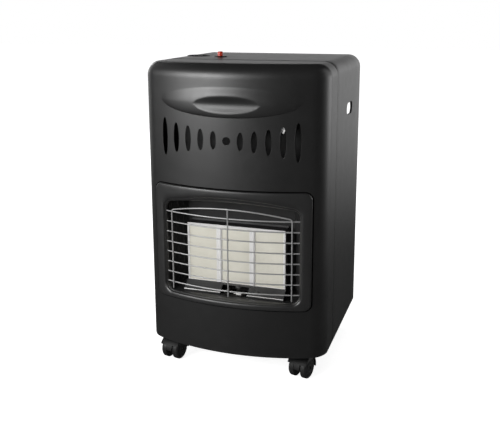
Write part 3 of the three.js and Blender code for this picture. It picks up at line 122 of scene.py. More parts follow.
TRAY_HALVES = ((-TRAY_HALF_WIDTH, PILOT_GAP[0]), (PILOT_GAP[1], TRAY_HALF_WIDTH))
BURNER_COVER = {"inset": 0.5, "drop": 0.4, "rear": 36, "lip": 4}
SHELL_WALL = ((162.2, 2.0), (128.3, 45.8))  # a side wall's front and rear
RIB_PLACES = (0.22, 0.4, 0.58, 0.76)
RIB_SPAN = (202, 388)
RIB_DIAMETER = 3.6

# Controls
CONTROL = (-160, 203)
DISH = {"radius": 25, "flange": 3, "depth": 18, "wall": 1.5, "hole": 5.5}
KNOB = {"radius": 19, "proud": 3, "travel": 4, "hole": 4, "ribs": 32, "rib": 0.35}
POINTER = {"half": 0.6, "start": 6, "end": 14, "deep": 0.3}
IGNITER = (-95, 180)
BUTTON = {"radius": 6.5, "proud": 12.5, "travel": 7, "sunk": 6}
BEZEL = {"radius": 16, "barrel": 10, "base": 670}

# Rear cover
COVER = {"x": 197.5, "base": 63.2, "top": 500, "flange": 1, "sheet": THIN_SHEET}
COVER_FLANGE_BASE = 17  # how far above the cover's foot its side flanges start
FIELD = {"margin": 17, "top": 448, "press": 2.4, "slope": 3, "radius": 12}
LOUVRE = {"x": 88, "width": 130, "height": 9, "deep": 7, "rows": 6, "pitch": 34, "base": 150}
FINGER_SLOT = {"width": 96, "height": 24, "z": 474}

# Casters
STEM_X = 158
STEM_FRONT_Y = 38
STEM_REAR_Y = 322
TRAIL = 20
WHEEL = {"radius": 25, "width": 15, "inner": 8.2, "hole": 3.3}
HOOD = {"web": 7.5, "side": 23.6, "inner": 26, "outer": 28.5, "start": -12, "end": 150}
BOSS = {"hole": 5.8, "radius": 7.9, "base": 36, "top": 59.4}
CASTERS = {
    "front_left": (-STEM_X, STEM_FRONT_Y, -8),
    "front_right": (STEM_X, STEM_FRONT_Y, -13),
    "rear_left": (-STEM_X, STEM_REAR_Y, -6),
    "rear_right": (STEM_X, STEM_REAR_Y, -11),
}

CORE_X = HALF_WIDTH - EDGE_RADIUS
CORE_Z = CABINET_TOP - EDGE_RADIUS
BOW_RADIUS = (HALF_WIDTH**2 + FRONT_BOW**2) / (2 * FRONT_BOW)


def bow(x):
    """How far in front of the corners the bowed front lies at x; negative is forward."""
    x = min(abs(x), HALF_WIDTH)
    return BOW_RADIUS - FRONT_BOW - math.sqrt(BOW_RADIUS**2 - x**2)


def place(point):
    x, y, z = point
    return Vector((x * MM, (y - Y_SHIFT) * MM, z * MM))


def add_object(name, data):
    thing = bpy.data.objects.new(name, data)
    bpy.context.scene.collection.objects.link(thing)
    return thing


# ---- Camera ----

CAMERA_AT = Vector((0.5151, -1.6126, 0.8158))
CAMERA_YAW = 0.3166
CAMERA_PITCH = 0.219
CAMERA_ROLL = -0.0031
PHOTO_WIDTH = 500
FOCAL_PIXELS = 724.3
SENSOR = 36
VIEW_SHIFT = -0.1


def add_camera():
    data = bpy.data.cameras.new("camera")
    data.sensor_width = SENSOR
    data.lens = FOCAL_PIXELS / PHOTO_WIDTH * SENSOR
    data.shift_y = VIEW_SHIFT
    camera = add_object("camera", data)
    flat = math.cos(CAMERA_PITCH)
    forward = Vector((-math.sin(CAMERA_YAW) * flat, math.cos(CAMERA_YAW) * flat, -math.sin(CAMERA_PITCH)))
    level = Vector((math.cos(CAMERA_YAW), math.sin(CAMERA_YAW), 0))
    raised = level.cross(forward)
    right = level * math.cos(CAMERA_ROLL) + raised * math.sin(CAMERA_ROLL)
    up = right.cross(forward)
    turn = Matrix((right, up, -forward)).transposed().to_4x4()
    camera.matrix_world = Matrix.Translation(CAMERA_AT) @ turn
    bpy.context.scene.camera = camera


add_camera()
bpy.context.scene.view_settings.view_transform = "Standard"

# ---- Shapes ----


class Shape:
    """Points and faces that are collected before they become one object."""

    def __init__(self):
        self.points = []
        self.faces = []

    def add(self, points, faces):
        start = len(self.points)
        self.points += [tuple(p) for p in points]
        self.faces += [[start + i for i in face] for face in faces]
        return self

    def face(self, points):
        self.add(points, [range(len(points))])

    def join(self, *others):
        for other in others:
            self.add(other.points, other.faces)
        return self

    def moved(self, change):
        self.points = [change(p) for p in self.points]
        return self


def loft(rings, closed=False, first_cap=True):
    """Closed rings of equally many points, joined in a row; open rows are capped."""
    n = len(rings[0])
    faces = []
    for i in range(len(rings) if closed else len(rings) - 1):
        a, b = i * n, (i + 1) % len(rings) * n
        for k in range(n):
            m = (k + 1) % n
            faces.append([a + k, a + m, b + m, b + k])
    if not closed:
        if first_cap:
            faces.append(list(range(n))[::-1])
        faces.append([(len(rings) - 1) * n + k for k in range(n)])
    return Shape().add([p for ring in rings for p in ring], faces)


def grid(rows):
    """Rows of equally many points, joined in a sheet."""
    n = len(rows[0])
    starts = [j * n + i for j in range(len(rows) - 1) for i in range(n - 1)]
    return Shape().add([p for row in rows for p in row], [[a, a + 1, a + n + 1, a + n] for a in starts])


def lathe(profile, steps=48, centre=(0, 0)):
    """A profile of (radius, height) turned about an upright axis; it ends on the axis or closes."""
    points, rings, faces = [], [], []
    for r, h in profile:
        ring = []
        for k in range(steps if r else 1):
            a = 2 * math.pi * k / steps
            ring.append(len(points))
            points.append((centre[0] + r * math.cos(a), centre[1] + r * math.sin(a), h))
        rings.append(ring)
    closed = profile[0][0] > 0
    for i in range(len(rings) if closed else len(rings) - 1):
        a, b = rings[i], rings[(i + 1) % len(rings)]
        for k in range(steps):
            m = (k + 1) % steps
            face = [a[k % len(a)], a[m % len(a)], b[m % len(b)], b[k % len(b)]]
            face = list(dict.fromkeys(face))
            if len(face) > 2:
                faces.append(face)
    return Shape().add(points, faces)


def prism(outline, a, b, axis="z"):
    """An outline of (u, v) points given depth from a to b along an axis."""
    order = {"x": (2, 0, 1), "y": (0, 2, 1), "z": (0, 1, 2)}[axis]
    return loft([[[(u, v, w)[i] for i in order] for u, v in outline] for w in (a, b)])


def block(x0, x1, y0, y1, z0, z1):
    return prism([(x0, y0), (x1, y0), (x1, y1), (x0, y1)], z0, z1)


def blocks(x0, x1, *reach):
    """A block to the right and its mirror image to the left."""
    return block(-x1, -x0, *reach).join(block(x0, x1, *reach))


def arc(cx, cy, radius, start, end, steps):
    """Points on an arc, with its angles in degrees."""
    angles = [math.radians(start + (end - start) * k / steps) for k in range(steps + 1)]
    return [(cx + radius * math.cos(a), cy + radius * math.sin(a)) for a in angles]


def rounded_box(x0, x1, y0, y1, radius, steps=8):
    left, right, low, high = x0 + radius, x1 - radius, y0 + radius, y1 - radius
    line = []
    for x, y, angle in ((right, low, -90), (right, high, 0), (left, high, 90), (left, low, 180)):
        line += arc(x, y, radius, angle, angle + 90, steps)
    return line


def ellipse(x, y, width, height, steps=40):
    angles = [2 * math.pi * k / steps for k in range(steps)]
    return [(x + width / 2 * math.cos(a), y + height / 2 * math.sin(a)) for a in angles]


def tube(points, diameter, sides=12):
    """A round rod along listed points, with flat ends."""
    path = [Vector(p) for p in points]
    tangents = []
    for i in range(len(path)):
        tangents.append((path[min(i + 1, len(path) - 1)] - path[max(i - 1, 0)]).normalized())
    side = tangents[0].orthogonal().normalized()
    rings = []
    for i, (at, along) in enumerate(zip(path, tangents)):
        side = (side - along * side.dot(along)).normalized()
        other = along.cross(side)
        widen = 1.0
        if 0 < i < len(path) - 1:
            widen = 1 / max(0.7, (path[i + 1] - path[i]).normalized().dot(along))
        ring = []
        for k in range(sides):
            a = 2 * math.pi * k / sides
            ring.append(at + (side * math.cos(a) + other * math.sin(a)) * diameter / 2 * widen)
        rings.append(ring)
    return loft(rings)


# ---- Objects ----


def raw_object(name, shape):
    mesh = bpy.data.meshes.new(name)
    mesh.from_pydata([place(p) for p in shape.points], [], shape.faces)
    work = bmesh.new()
    work.from_mesh(mesh)
    bmesh.ops.remove_doubles(work, verts=work.verts, dist=1e-7)
    bmesh.ops.recalc_face_normals(work, faces=work.faces)
    work.to_mesh(mesh)
    work.free()
    return add_object(name, mesh)


def carve(thing, tools):
    """Cuts a shape of separate closed tools out of an object."""
    cutter = raw_object("cutter", tools)
    change = thing.modifiers.new("carve", "BOOLEAN")
    change.operation = "DIFFERENCE"
    change.solver = "EXACT"
    change.object = cutter
    graph = bpy.context.evaluated_depsgraph_get()
    carved = bpy.data.meshes.new_from_object(thing.evaluated_get(graph))
    thing.modifiers.clear()
    thing.data = carved
    bpy.data.objects.remove(cutter)


def dress(name, shape, material, nodes=(), tools=None, sharp=35, bevel=0, body="heater"):
    """Makes one finished piece that rides on a body and stands for the named nodes."""
    thing = raw_object(name, shape)
    if tools:
        carve(thing, tools)
    if bevel:
        edge = thing.modifiers.new("edge", "BEVEL")
        edge.width = bevel * MM
        edge.segments = 2
        edge.limit_method = "ANGLE"
        edge.angle_limit = math.radians(sharp)
    thing.data.shade_smooth()
    thing.data.set_sharp_from_angle(angle=math.radians(sharp))
    thing.data.materials.clear()
    thing.data.materials.append(material)
    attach(thing, body)
    if nodes:
        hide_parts(*nodes)
    return thing


# ---- Materials ----


class Nodes:
    """The node tree of a material or the world, with short calls to add and link nodes."""

    def __init__(self, owner):
        owner.use_nodes = True
        self.tree = owner.node_tree
        self.shader = self.tree.nodes.get("Principled BSDF")

    def feed(self, node, **inputs):
        """Sets inputs, whose names are written with _ for a space, to values or links sockets to them."""
        for key, value in inputs.items():
            socket = node.inputs[int(key[1:]) if key[1:].isdigit() else key.replace("_", " ")]
            if isinstance(value, bpy.types.NodeSocket):
                self.tree.links.new(value, socket)
            else:
                socket.default_value = value

    def add(self, kind, operation=None, **inputs):
        node = self.tree.nodes.new("ShaderNode" + kind)
        if operation:
            node.operation = operation
        self.feed(node, **inputs)
        return node

    def math(self, operation, **inputs):
        return self.add("Math", operation, **inputs).outputs["Value"]

    def here(self):
        return self.add("TexCoord").outputs["Object"]

    def along(self, axis):
        """How far along an axis of the frame the surface lies, in metres."""
        return self.add("SeparateXYZ", Vector=self.here()).outputs[axis]

    def noise(self, scale, detail=3.0):
        return self.add("TexNoise", Vector=self.here(), Scale=scale, Detail=detail).outputs["Fac"]

    def spread(self, source, start, end, low, high):
        """A value between start and end spread between low and high."""
        values = {"From_Min": start, "From_Max": end, "To_Min": low, "To_Max": high}
        return self.add("MapRange", Value=source, **values).outputs["Result"]

    def blend(self, source, *colours):
        ramp = self.add("ValToRGB", Fac=source)
        for stop, position, tint in zip(ramp.color_ramp.elements, NOISE_MIDDLE, colours):
            stop.position = position
            stop.color = tint
        return ramp.outputs["Color"]

    def light(self, kind, strength):
        return self.add(kind, Color=WHITE_LIGHT, Strength=strength).outputs[kind]

    def show(self, shader, output="Material Output"):
        self.feed(self.tree.nodes[output], Surface=shader)


NOISE_MIDDLE = (0.3, 0.7)  # the part of a noise's values that counts
MICRON = 0.000001


def colour(value):
    """A colour from its three parts, or a grey from one number."""
    return (*value, 1) if isinstance(value, tuple) else (value, value, value, 1)


WHITE_LIGHT = colour(1.0)


def warm(value, tint):
    return (value * (1 + tint), value, value * (1 - tint))


def finish(name, slot, first, second, rough, metal=0.0, specular=0.5, relief=20, grain=900, patch=18):
    """A finish whose colour and gloss drift a little over the surface, with a fine relief in microns."""
    material = bpy.data.materials.new(name)
    material["slot"] = slot
    nodes = Nodes(material)
    tone = nodes.blend(nodes.noise(patch), colour(first), colour(second))
    gloss = nodes.spread(nodes.noise(patch * 2.3, 4), *NOISE_MIDDLE, *rough)
    bump = nodes.add("Bump", Height=nodes.noise(grain, 2), Distance=relief * MICRON, Strength=1.0)
    nodes.feed(nodes.shader, Base_Color=tone, Roughness=gloss, Normal=bump.outputs["Normal"])
    nodes.feed(nodes.shader, Metallic=metal, Specular_IOR_Level=specular)
    return material


PAINT = finish("satin_black_paint", "cabinet_paint", 0.01, 0.012, (0.38, 0.42), specular=0.9, relief=12)
SURROUND_PAINT = finish("black_enamel", "surround_paint", 0.016, 0.019, (0.36, 0.42), specular=0.9, relief=8)
INNER_PAINT = finish("heat_black", "inner_paint", 0.014, 0.022, (0.5, 0.62), relief=30)
# painted shadow: near-black with almost no gloss, for the ring where the surround's rim casts its shade
PAINTED_SHADOW_BLACK = finish("gap_black", "inner_paint", 0.001, 0.002, (0.8, 0.9), specular=0.05)
ZINC = finish("zinc_sheet", "zinc_sheet", 0.5, 0.62, (0.35, 0.5), metal=1, relief=10, patch=60)
# zinc painted dark: a painted shade for the dark inside of the cabinet seen through the air slots
ZINC_PAINTED_DARK = finish("dulled_zinc", "zinc_sheet", 0.025, 0.05, (0.5, 0.6), metal=0.6, relief=10, patch=30)
BRIGHT_TONES = warm(0.88, 0.01), warm(0.93, 0.01)
BRIGHT_GLOSS = {"metal": 0.25, "specular": 0.8, "relief": 2}
BRIGHT = finish("bright_sheet", "bright_sheet", *BRIGHT_TONES, (0.3, 0.36), **BRIGHT_GLOSS)
TRAY = finish("mirror_tray", "bright_sheet", 0.1, 0.14, (0.26, 0.34), metal=0.6, relief=2)
CHROME = finish("chromed_wire", "guard_chrome", 0.42, 0.48, (0.38, 0.46), metal=0.55, relief=2)
CLAY_TONES = (0.74, 0.72, 0.63), (0.8, 0.78, 0.69)
CERAMIC = finish("fireclay", "plaque_ceramic", *CLAY_TONES, (0.8, 0.95), relief=40)
WHITE = finish("white_insulator", "insulator_ceramic", warm(0.8, 0.02), warm(0.86, 0.02), (0.2, 0.3))
BRASS = finish("turned_brass", "brass", (0.62, 0.44, 0.18), (0.7, 0.5, 0.22), (0.25, 0.35), metal=1)
ALLOY = finish("cast_alloy", "valve_alloy", 0.42, 0.52, (0.45, 0.6), metal=0.9, relief=60, grain=400)
PIPE = finish("drawn_tube", "gas_pipe", 0.55, 0.63, (0.28, 0.4), metal=1)
COPPER_TONES = (0.5, 0.24, 0.13), (0.6, 0.31, 0.18)
COPPER = finish("copper_sheath", "thermocouple_copper", *COPPER_TONES, (0.35, 0.5), metal=1)
LEAD = finish("red_insulation", "lead_insulation", (0.3, 0.02, 0.014), (0.36, 0.03, 0.02), (0.45, 0.55))
PILOT = finish("burnt_steel", "pilot_steel", 0.03, warm(0.07, 0.1), (0.4, 0.6), metal=0.8)
SPINDLE = finish("turned_steel", "spindle_steel", 0.45, 0.5, (0.25, 0.35), metal=1)
DISH_PLASTIC = finish("dish_plastic", "dish_plastic", 0.012, 0.018, (0.42, 0.5), relief=30)
KNOB_PLASTIC = finish("knob_plastic", "knob_plastic", 0.01, 0.016, (0.35, 0.45))
BEZEL_PLASTIC = finish("bezel_plastic", "bezel_plastic", 0.012, 0.018, (0.35, 0.45))
RED_TONES = (0.56, 0.035, 0.012), (0.62, 0.045, 0.016)
RED = finish("red_button", "button_red", *RED_TONES, (0.2, 0.28), relief=4)
CASTER_STEEL = finish("plated_steel", "caster_steel", 0.4, 0.5, (0.3, 0.45), metal=1)
# black nylon, partly painted shade: made darker still to stand in for the shade that the cabinet casts on the
# hoods
HOOD_NYLON_PAINTED_SHADE = finish("hood_nylon", "caster_nylon", 0.008, 0.012, (0.5, 0.6), specular=0.3, relief=30)
WHEEL_NYLON = finish("wheel_nylon", "wheel_nylon", 0.013, 0.02, (0.46, 0.6), specular=0.35, relief=30)

SOOT_COLOUR = colour((0.012, 0.009, 0.008))
SOOTY_AHEAD, CLEAN_BEHIND = -0.12, -0.09  # metres along Y


def blacken(material):
    """Lets a finish turn to soot towards the firebox."""
    nodes = Nodes(material)
    clean = nodes.shader.inputs["Base Color"].links[0].from_socket
    share = nodes.spread(nodes.along("Y"), SOOTY_AHEAD, CLEAN_BEHIND, 0, 1)
    sooty = nodes.add("MixRGB", Fac=share, Color1=SOOT_COLOUR, Color2=clean)
    nodes.feed(nodes.shader, Base_Color=sooty.outputs["Color"])


blacken(LEAD)
blacken(COPPER)

# ---- Front panel ----

ARC_STEPS = 8


def spaced(a, b, step):
    """Values from a to b about a step apart."""
    count = max(1, round((b - a) / step))
    return [a + (b - a) * k / count for k in range(count + 1)]


def half_height(oval, x):
    """Half the height of the lens or the recess at x; a sliver runs on past its ends for the grid."""
    return oval["z"] * math.sqrt(max(oval["sliver"], 1 - (x / oval["x"]) ** 2))


def lens_row(part, t):
    """A grid row that lies t of the way up the lens below (part 0), in (1) or above (2) its recess."""
    inside = 2 * t - 1 if part == 1 else 1.0

    def row(x):
        rise, reach = half_height(LENS, x), half_height(RECESS, x)
        middle = LENS["middle"] - RECESS["drop"] * rise / LENS["z"]
        ends = (LENS["middle"] - rise, middle - reach, middle + reach, LENS["middle"] + rise)
        z = ends[part] + (ends[part + 1] - ends[part]) * t
        up = (z - LENS["middle"]) / LENS["z"]
        full = max(0.0, 1 - (x / LENS["x"]) ** 2 - up**2)
        raised = LENS["rise"] * full ** (LENS["round"] + LENS["soften"] * max(0.0, up))
        deep = RECESS["depth"] * max(0.0, 1 - (x / RECESS["x"]) ** 2) ** RECESS["across"]
        return z, raised - deep * max(0.0, 1 - inside**2) ** RECESS["up"]

    return row


def face_rows():
    """The front face's rows: each a function of x that gives z and how far the face is pressed out."""

    def flat(*heights):
        return [lambda x, z=z: (z, 0.0) for z in heights]

    foot, head = LENS["middle"] - LENS["z"], LENS["middle"] + LENS["z"]
    rows = flat(*spaced(CABINET_BASE, foot - 6, 8), foot - 4, foot - 2)
    rows += [lens_row(0, 1 - math.cos(math.pi / 2 * k / 12)) for k in range(13)]
    rows += [lens_row(1, k / 15) for k in range(1, 16)]
    rows += [lens_row(2, math.sin(math.pi / 2 * k / 12)) for k in range(1, 13)]
    return rows + flat(head + 2, head + 5, head + 9, head + 13)


def front_panel():
    # Where the grid lines of a rounded edge meet its box, evenly spaced in angle
    arcs = [EDGE_RADIUS * math.tan(math.pi / 4 * k / ARC_STEPS) for k in range(1, ARC_STEPS + 1)]
    xs = [-CORE_X - a for a in reversed(arcs)] + spaced(-CORE_X, CORE_X, 4.5)
    xs += [CORE_X + a for a in arcs]
    ys = [EDGE_RADIUS - a for a in reversed(arcs)] + spaced(EDGE_RADIUS, SEAM_Y, 7)
    rows = face_rows()
    tops = [CORE_Z] + [CORE_Z + a for a in arcs]
    nx, ny, nz = len(xs) - 1, len(ys) - 1, len(rows) + len(tops) - 1
    shape = Shape()

    def vertex(layer, i, j, k):
        """A place on the grid's box, drawn out to the rounded and bowed panel."""
        x, y = xs[i], ys[j]
        z, out = rows[k](x) if k < len(rows) else (tops[k - len(rows)], 0.0)
        core = Vector((max(-CORE_X, min(CORE_X, x)), max(y, EDGE_RADIUS), min(z, CORE_Z)))
        away = (Vector((x, y, z)) - core).normalized()
        point = core + away * (EDGE_RADIUS - SHEET * layer)
        forward = max(0.0, min(1.0, (SEAM_Y - y) / (SEAM_Y - EDGE_RADIUS)))
        point.y += bow(point.x) * forward - (out if j == 0 else 0.0)
        return point

    def square(layer, a, b, corner):
        places = ((a, b), (a + 1, b), (a + 1, b + 1), (a, b + 1))
        shape.face([vertex(layer, *corner(u, v)) for u, v in places])

    for layer in (0, 1):
        for k in range(nz):
            for i in range(nx):
                square(layer, i, k, lambda u, v: (u, 0, v))
            for j in range(ny):
                square(layer, j, k, lambda u, v: (0, u, v))
                square(layer, j, k, lambda u, v: (nx, u, v))
        for i in range(nx):
            for j in range(ny):
                square(layer, i, j, lambda u, v: (u, v, nz))
    foot = [(0, j, 0) for j in range(ny, 0, -1)] + [(i, 0, 0) for i in range(nx)]
    foot += [(nx, j, 0) for j in range(ny + 1)]
    back = [(0, ny, k) for k in range(nz)] + [(i, ny, nz) for i in range(nx)]
    back += [(nx, ny, k) for k in range(nz, -1, -1)]
    for line in (foot, back):
        for a, b in zip(line, line[1:]):
            shape.face([vertex(0, *a), vertex(0, *b), vertex(1, *b), vertex(1, *a)])
    return shape


def slots():
    """Each air slot's middle, width and height."""
    found = [(0, SLOT_MIDDLE_DIAMETER, SLOT_MIDDLE_DIAMETER)]
    for i, height in enumerate(SLOT_HEIGHTS):
        found += [(side * (i + 1) * SLOT_PITCH, SLOT_WIDTH, height) for side in (-1, 1)]
    return found


def front_openings():
    x, bottom, top, radius = PANEL_WINDOW.values()
    window = rounded_box(-x, x, bottom, top, radius)
    tools = prism(window, *PANEL_THROUGH, "y")
    for cx, width, height in slots():
        tools.join(prism(ellipse(cx, SLOT_Z, width, height), *PANEL_THROUGH, "y"))
    return tools


SLOT_RIM = [(0.9, 0.05), (0.75, -0.12), (0.4, -0.14), (0.05, 0.1), (-0.3, 0.6), (-0.4, 1.6), (0.2, 1.6)]
SLOT_RIM += [(0.5, 0.7)]


def slot_rims():
    """The pressed-in edge round each air slot."""
    shape = Shape()
    for cx, width, height in slots():
        lines = [(ellipse(cx, SLOT_Z, width + 2 * m, height + 2 * m), deep) for m, deep in SLOT_RIM]
        shape.join(loft([[(x, bow(x) + deep, z) for x, z in line] for line, deep in lines], closed=True))
    return shape


dress("front_panel_skin", front_panel(), PAINT, ["front_panel"], front_openings(), sharp=30)
dress("slot_rims", slot_rims(), PAINT, sharp=60)

# ---- Wrapper ----


def arch_line(inset, base):
    """The cabinet's arch of sides and top, drawn in by an inset, from its left foot to its right."""
    x = HALF_WIDTH - inset
    radius = EDGE_RADIUS - inset
    heights = spaced(base, CORE_Z, 40)[:-1]
    line = [(-x, z) for z in heights]
    line += arc(-CORE_X, CORE_Z, radius, 180, 90, 14)
    line += [(u, CABINET_TOP - inset) for u in spaced(-CORE_X, CORE_X, 40)[1:-1]]
    line += arc(CORE_X, CORE_Z, radius, 90, 0, 14)
    return line + [(x, z) for z in reversed(heights)]


def arch_sweep(section, base):
    """A closed section of (y, inset) points carried along the arch."""
    lines = [arch_line(inset, base) for _, inset in section]
    rings = []
    for k in range(len(lines[0])):
        rings.append([(lines[m][k][0], y, lines[m][k][1]) for m, (y, _) in enumerate(section)])
    return loft(rings)


def turned_edge(radius):
    """A quarter turn as (distance from the edge, depth) points."""
    turns = (0, 0.4, 0.8, 1.2, math.pi / 2)
    return [(radius * (1 - math.sin(a)), radius * (1 - math.cos(a))) for a in turns]


def wrapper():
    front, rear, behind = SEAM_Y + SEAM_GROOVE, CABINET_REAR, CABINET_REAR - SHEET
    section = [(front, SHEET), (front, 0.7), (front + 0.25, 0.2), (front + 0.7, 0)]
    section += [(y, 0) for y in spaced(front + 20, rear - REAR_EDGE, 60)]
    section += [(rear - reach, deep) for reach, deep in turned_edge(REAR_EDGE)[1:]]
    section += [(rear, REAR_FLANGE), (behind, REAR_FLANGE), (behind, SHEET + 0.6), (behind - 0.6, SHEET)]
    return arch_sweep(section, CABINET_BASE)


def wrapper_lips():
    """The lip that reaches under the front panel, and the flanges under the floor tray."""
    front, tip = SEAM_Y + SEAM_GROOVE, SEAM_Y - JOGGLE_REACH
    lip = SHEET + FIT
    joggle = [(front + 4, SHEET / 2), (front + 4, SHEET + 0.2), (front + 1.2, lip + SHEET)]
    joggle += [(tip, lip + SHEET), (tip, lip), (front - 0.6, lip), (front, SHEET * 0.7)]
    flanges = (HALF_WIDTH - FOOT_FLANGE, HALF_WIDTH - SHEET / 2, front, CABINET_REAR - 0.6)
    return arch_sweep(joggle, JOGGLE_BASE).join(blocks(*flanges, CABINET_BASE, CABINET_BASE + SHEET))


def grip_outline(margin, steps=12):
    y, z = GRIP["length"] / 2 + margin, GRIP["height"] / 2 + margin
    return rounded_box(GRIP["y"] - y, GRIP["y"] + y, GRIP["z"] - z, GRIP["z"] + z, z, steps)


def grip_collar(side):
    """The turned-in edge of a grip hole."""
    r = GRIP["round"]
    section = turned_edge(r) + [(0, GRIP["lip"]), (SHEET, GRIP["lip"]), (SHEET, r + 0.6), (r + 0.1, SHEET)]
    lines = [(grip_outline(margin), side * (HALF_WIDTH - deep)) for margin, deep in section]
    return loft([[(x, y, z) for y, z in line] for line, x in lines], closed=True)


def wrapper_openings():
    tools = Shape()
    for side in (-1, 1):
        a, b = sorted((side * (HALF_WIDTH - 4), side * (HALF_WIDTH + 4)))
        tools.join(prism(grip_outline(GRIP["round"]), a, b, "x"))
    for (x, y), radius in ((CONTROL, DISH["radius"] + FIT), (IGNITER, BEZEL["barrel"] + FIT)):
        tools.join(prism(ellipse(x, y, 2 * radius, 2 * radius, 48), CABINET_TOP - 5, CABINET_TOP + 5))
    return tools


dress("wrapper_skin", wrapper(), PAINT, ["cabinet_wrapper"], wrapper_openings())
dress("wrapper_lips", wrapper_lips(), PAINT)
for side, word in ((-1, "left"), (1, "right")):
    dress(f"grip_collar_{word}", grip_collar(side), PAINT)

# ---- Firebox surround ----

RAIL_STEPS = 40
CORNER_STEPS = 12
# How far each line lies from the outer edge (0) to the mouth's (1), and how far behind the bow; no depth
# stands for the funnel's flat rear
SURROUND_SECTION = [(0.0, -0.7), (0.004, -2.0), (0.02, -3.6), (0.06, -4.6), (0.12, -5.0), (0.3, -5.15)]
SURROUND_SECTION += [(0.55, -5.2), (0.7, -4.9), (0.8, -4.4), (0.88, -3.6), (0.94, -2.3), (0.98, -0.8)]
SURROUND_SECTION += [(1.0, 0.8), (0.985, None), (0.935, None), (0.945, 1.4), (0.9, -1.0), (0.84, -2.1)]
SURROUND_SECTION += [(0.18, -3.6), (0.1, -0.7)]
# A painted shadow: a flat near-black ring round the outer edge that stands in for the shade of the surround's
# rim. Margin round the outer edge, and depth
SHADOW_RING_SECTION = [(-0.6, -0.1), (-0.6, -0.3), (SHADOW_RING_WIDTH, -0.16), (SHADOW_RING_WIDTH, 0.2)]
# How far each line is drawn in to the throat, and depth
THROAT_SECTION = [(-0.1, 0.9), (0.25, 1.2), (0.55, 2.2), (0.8, 3.8), (0.94, 5.4), (1.0, 6.8), (1.06, 7.2)]
THROAT_SECTION += [(1.04, 7.9), (0.9, 8.3), (0.82, 7.2), (0.7, 5.0), (0.4, 3.2), (-0.1, 2.6)]


def surround_line(side, margin=0.0, throat=0.0):
    """One closed line round the mouth: side 0 is the surround's outer edge and side 1 the mouth's own.

    A margin moves it out, and throat, from 0 to 1, draws it in to the throat behind the mouth.
    """
    sizes = []
    for key in ("x", "bottom", "top", "crown", "radius"):
        out = -margin if key == "bottom" else margin
        sizes.append(SURROUND[key] + (MOUTH[key] - SURROUND[key]) * side + out - THROAT[key] * throat)
    x, bottom, top, crown, radius = sizes
    reach = x - radius
    line = [(-reach + 2 * reach * k / RAIL_STEPS, bottom) for k in range(1, RAIL_STEPS)]
    line += arc(reach, bottom + radius, radius, -90, 0, CORNER_STEPS)
    line += arc(reach, top - radius, radius, 0, 90, CORNER_STEPS)
    for k in range(1, RAIL_STEPS):
        at = reach - 2 * reach * k / RAIL_STEPS
        line.append((at, top + (crown - top) * (1 - (at / reach) ** 2)))
    line += arc(-reach, top - radius, radius, 90, 180, CORNER_STEPS)
    return line + arc(-reach, bottom + radius, radius, 180, 270, CORNER_STEPS)


def swept(section):
    """A section of (line round the mouth, depth behind the bow) pairs."""
    rings = []
    for line, behind in section:
        rings.append([(x, FUNNEL_REAR if behind is None else bow(x) + behind, z) for x, z in line])
    return loft(rings, closed=True)


skin = swept([(surround_line(side), behind) for side, behind in SURROUND_SECTION])
dress("surround_skin", skin, SURROUND_PAINT, ["firebox_surround"], sharp=50)
# the painted shadow ring round the surround's outer edge
shadow_ring = swept([(surround_line(0, margin), behind) for margin, behind in SHADOW_RING_SECTION])
dress("surround_gap", shadow_ring, PAINTED_SHADOW_BLACK)
funnel = swept([(surround_line(1, throat=throat), behind) for throat, behind in THROAT_SECTION])
dress("surround_throat", funnel, SURROUND_PAINT, sharp=60)

# ---- Wire guard ----


def guard():
    shape = Shape()
    row_end = MOUTH["x"] - GUARD_WIRE / 3

    def upright(x):
        return bow(x) + GUARD_SETBACK

    pitch = (GUARD_TOP_ROW - GUARD_BOTTOM_ROW) / (GUARD_ROWS - 1)
    for row in range(GUARD_ROWS):
        z = GUARD_BOTTOM_ROW + row * pitch
        line = [(x, upright(x) + GUARD_WIRE * 0.8, z) for x in spaced(-row_end, row_end, 8)]
        shape.join(tube(line, GUARD_WIRE))
    run = GUARD_UPRIGHT_X - GUARD_BEND
    rise = GUARD_CROWN - GUARD_SHOULDER
    crown = [(x, GUARD_SHOULDER + rise * (1 - (x / run) ** 2)) for x in spaced(-run, run, 8)]
    x = GUARD_UPRIGHT_X
    bend = arc(-x + GUARD_BEND, GUARD_SHOULDER - GUARD_BEND, GUARD_BEND, 180, 97, 6)
    line = [(-x, GUARD_FOOT)] + bend + crown[1:-1] + [(-u, v) for u, v in reversed(bend)] + [(x, GUARD_FOOT)]
    shape.join(tube([(u, upright(u), v) for u, v in line], GUARD_WIRE))
    shape.join(tube([(0, upright(0), GUARD_FOOT + 2), (0, upright(0), GUARD_CROWN)], GUARD_WIRE))
    return shape


dress("guard_wires", guard(), CHROME, ["guard_grille"], sharp=50)

# ---- Plaques and their frame ----


def plaque_frame():
    """The border of a pressed bright sheet with a window for each plaque."""
    front = PLAQUE_FRONT - FIT - SHEET
    low, high = PLAQUE_BASE + PLAQUE_END_BORDER, PLAQUE_TOP - PLAQUE_END_BORDER
    span = PLAQUE_HALF_SPAN
    reach = (front, front + SHEET)
    foot, head = block(-span, span, *reach, PLAQUE_BASE, low), block(-span, span, *reach, high, PLAQUE_TOP)
    return foot.join(head, blocks(span - PLAQUE_SIDE_BORDER, span, *reach, low, high))


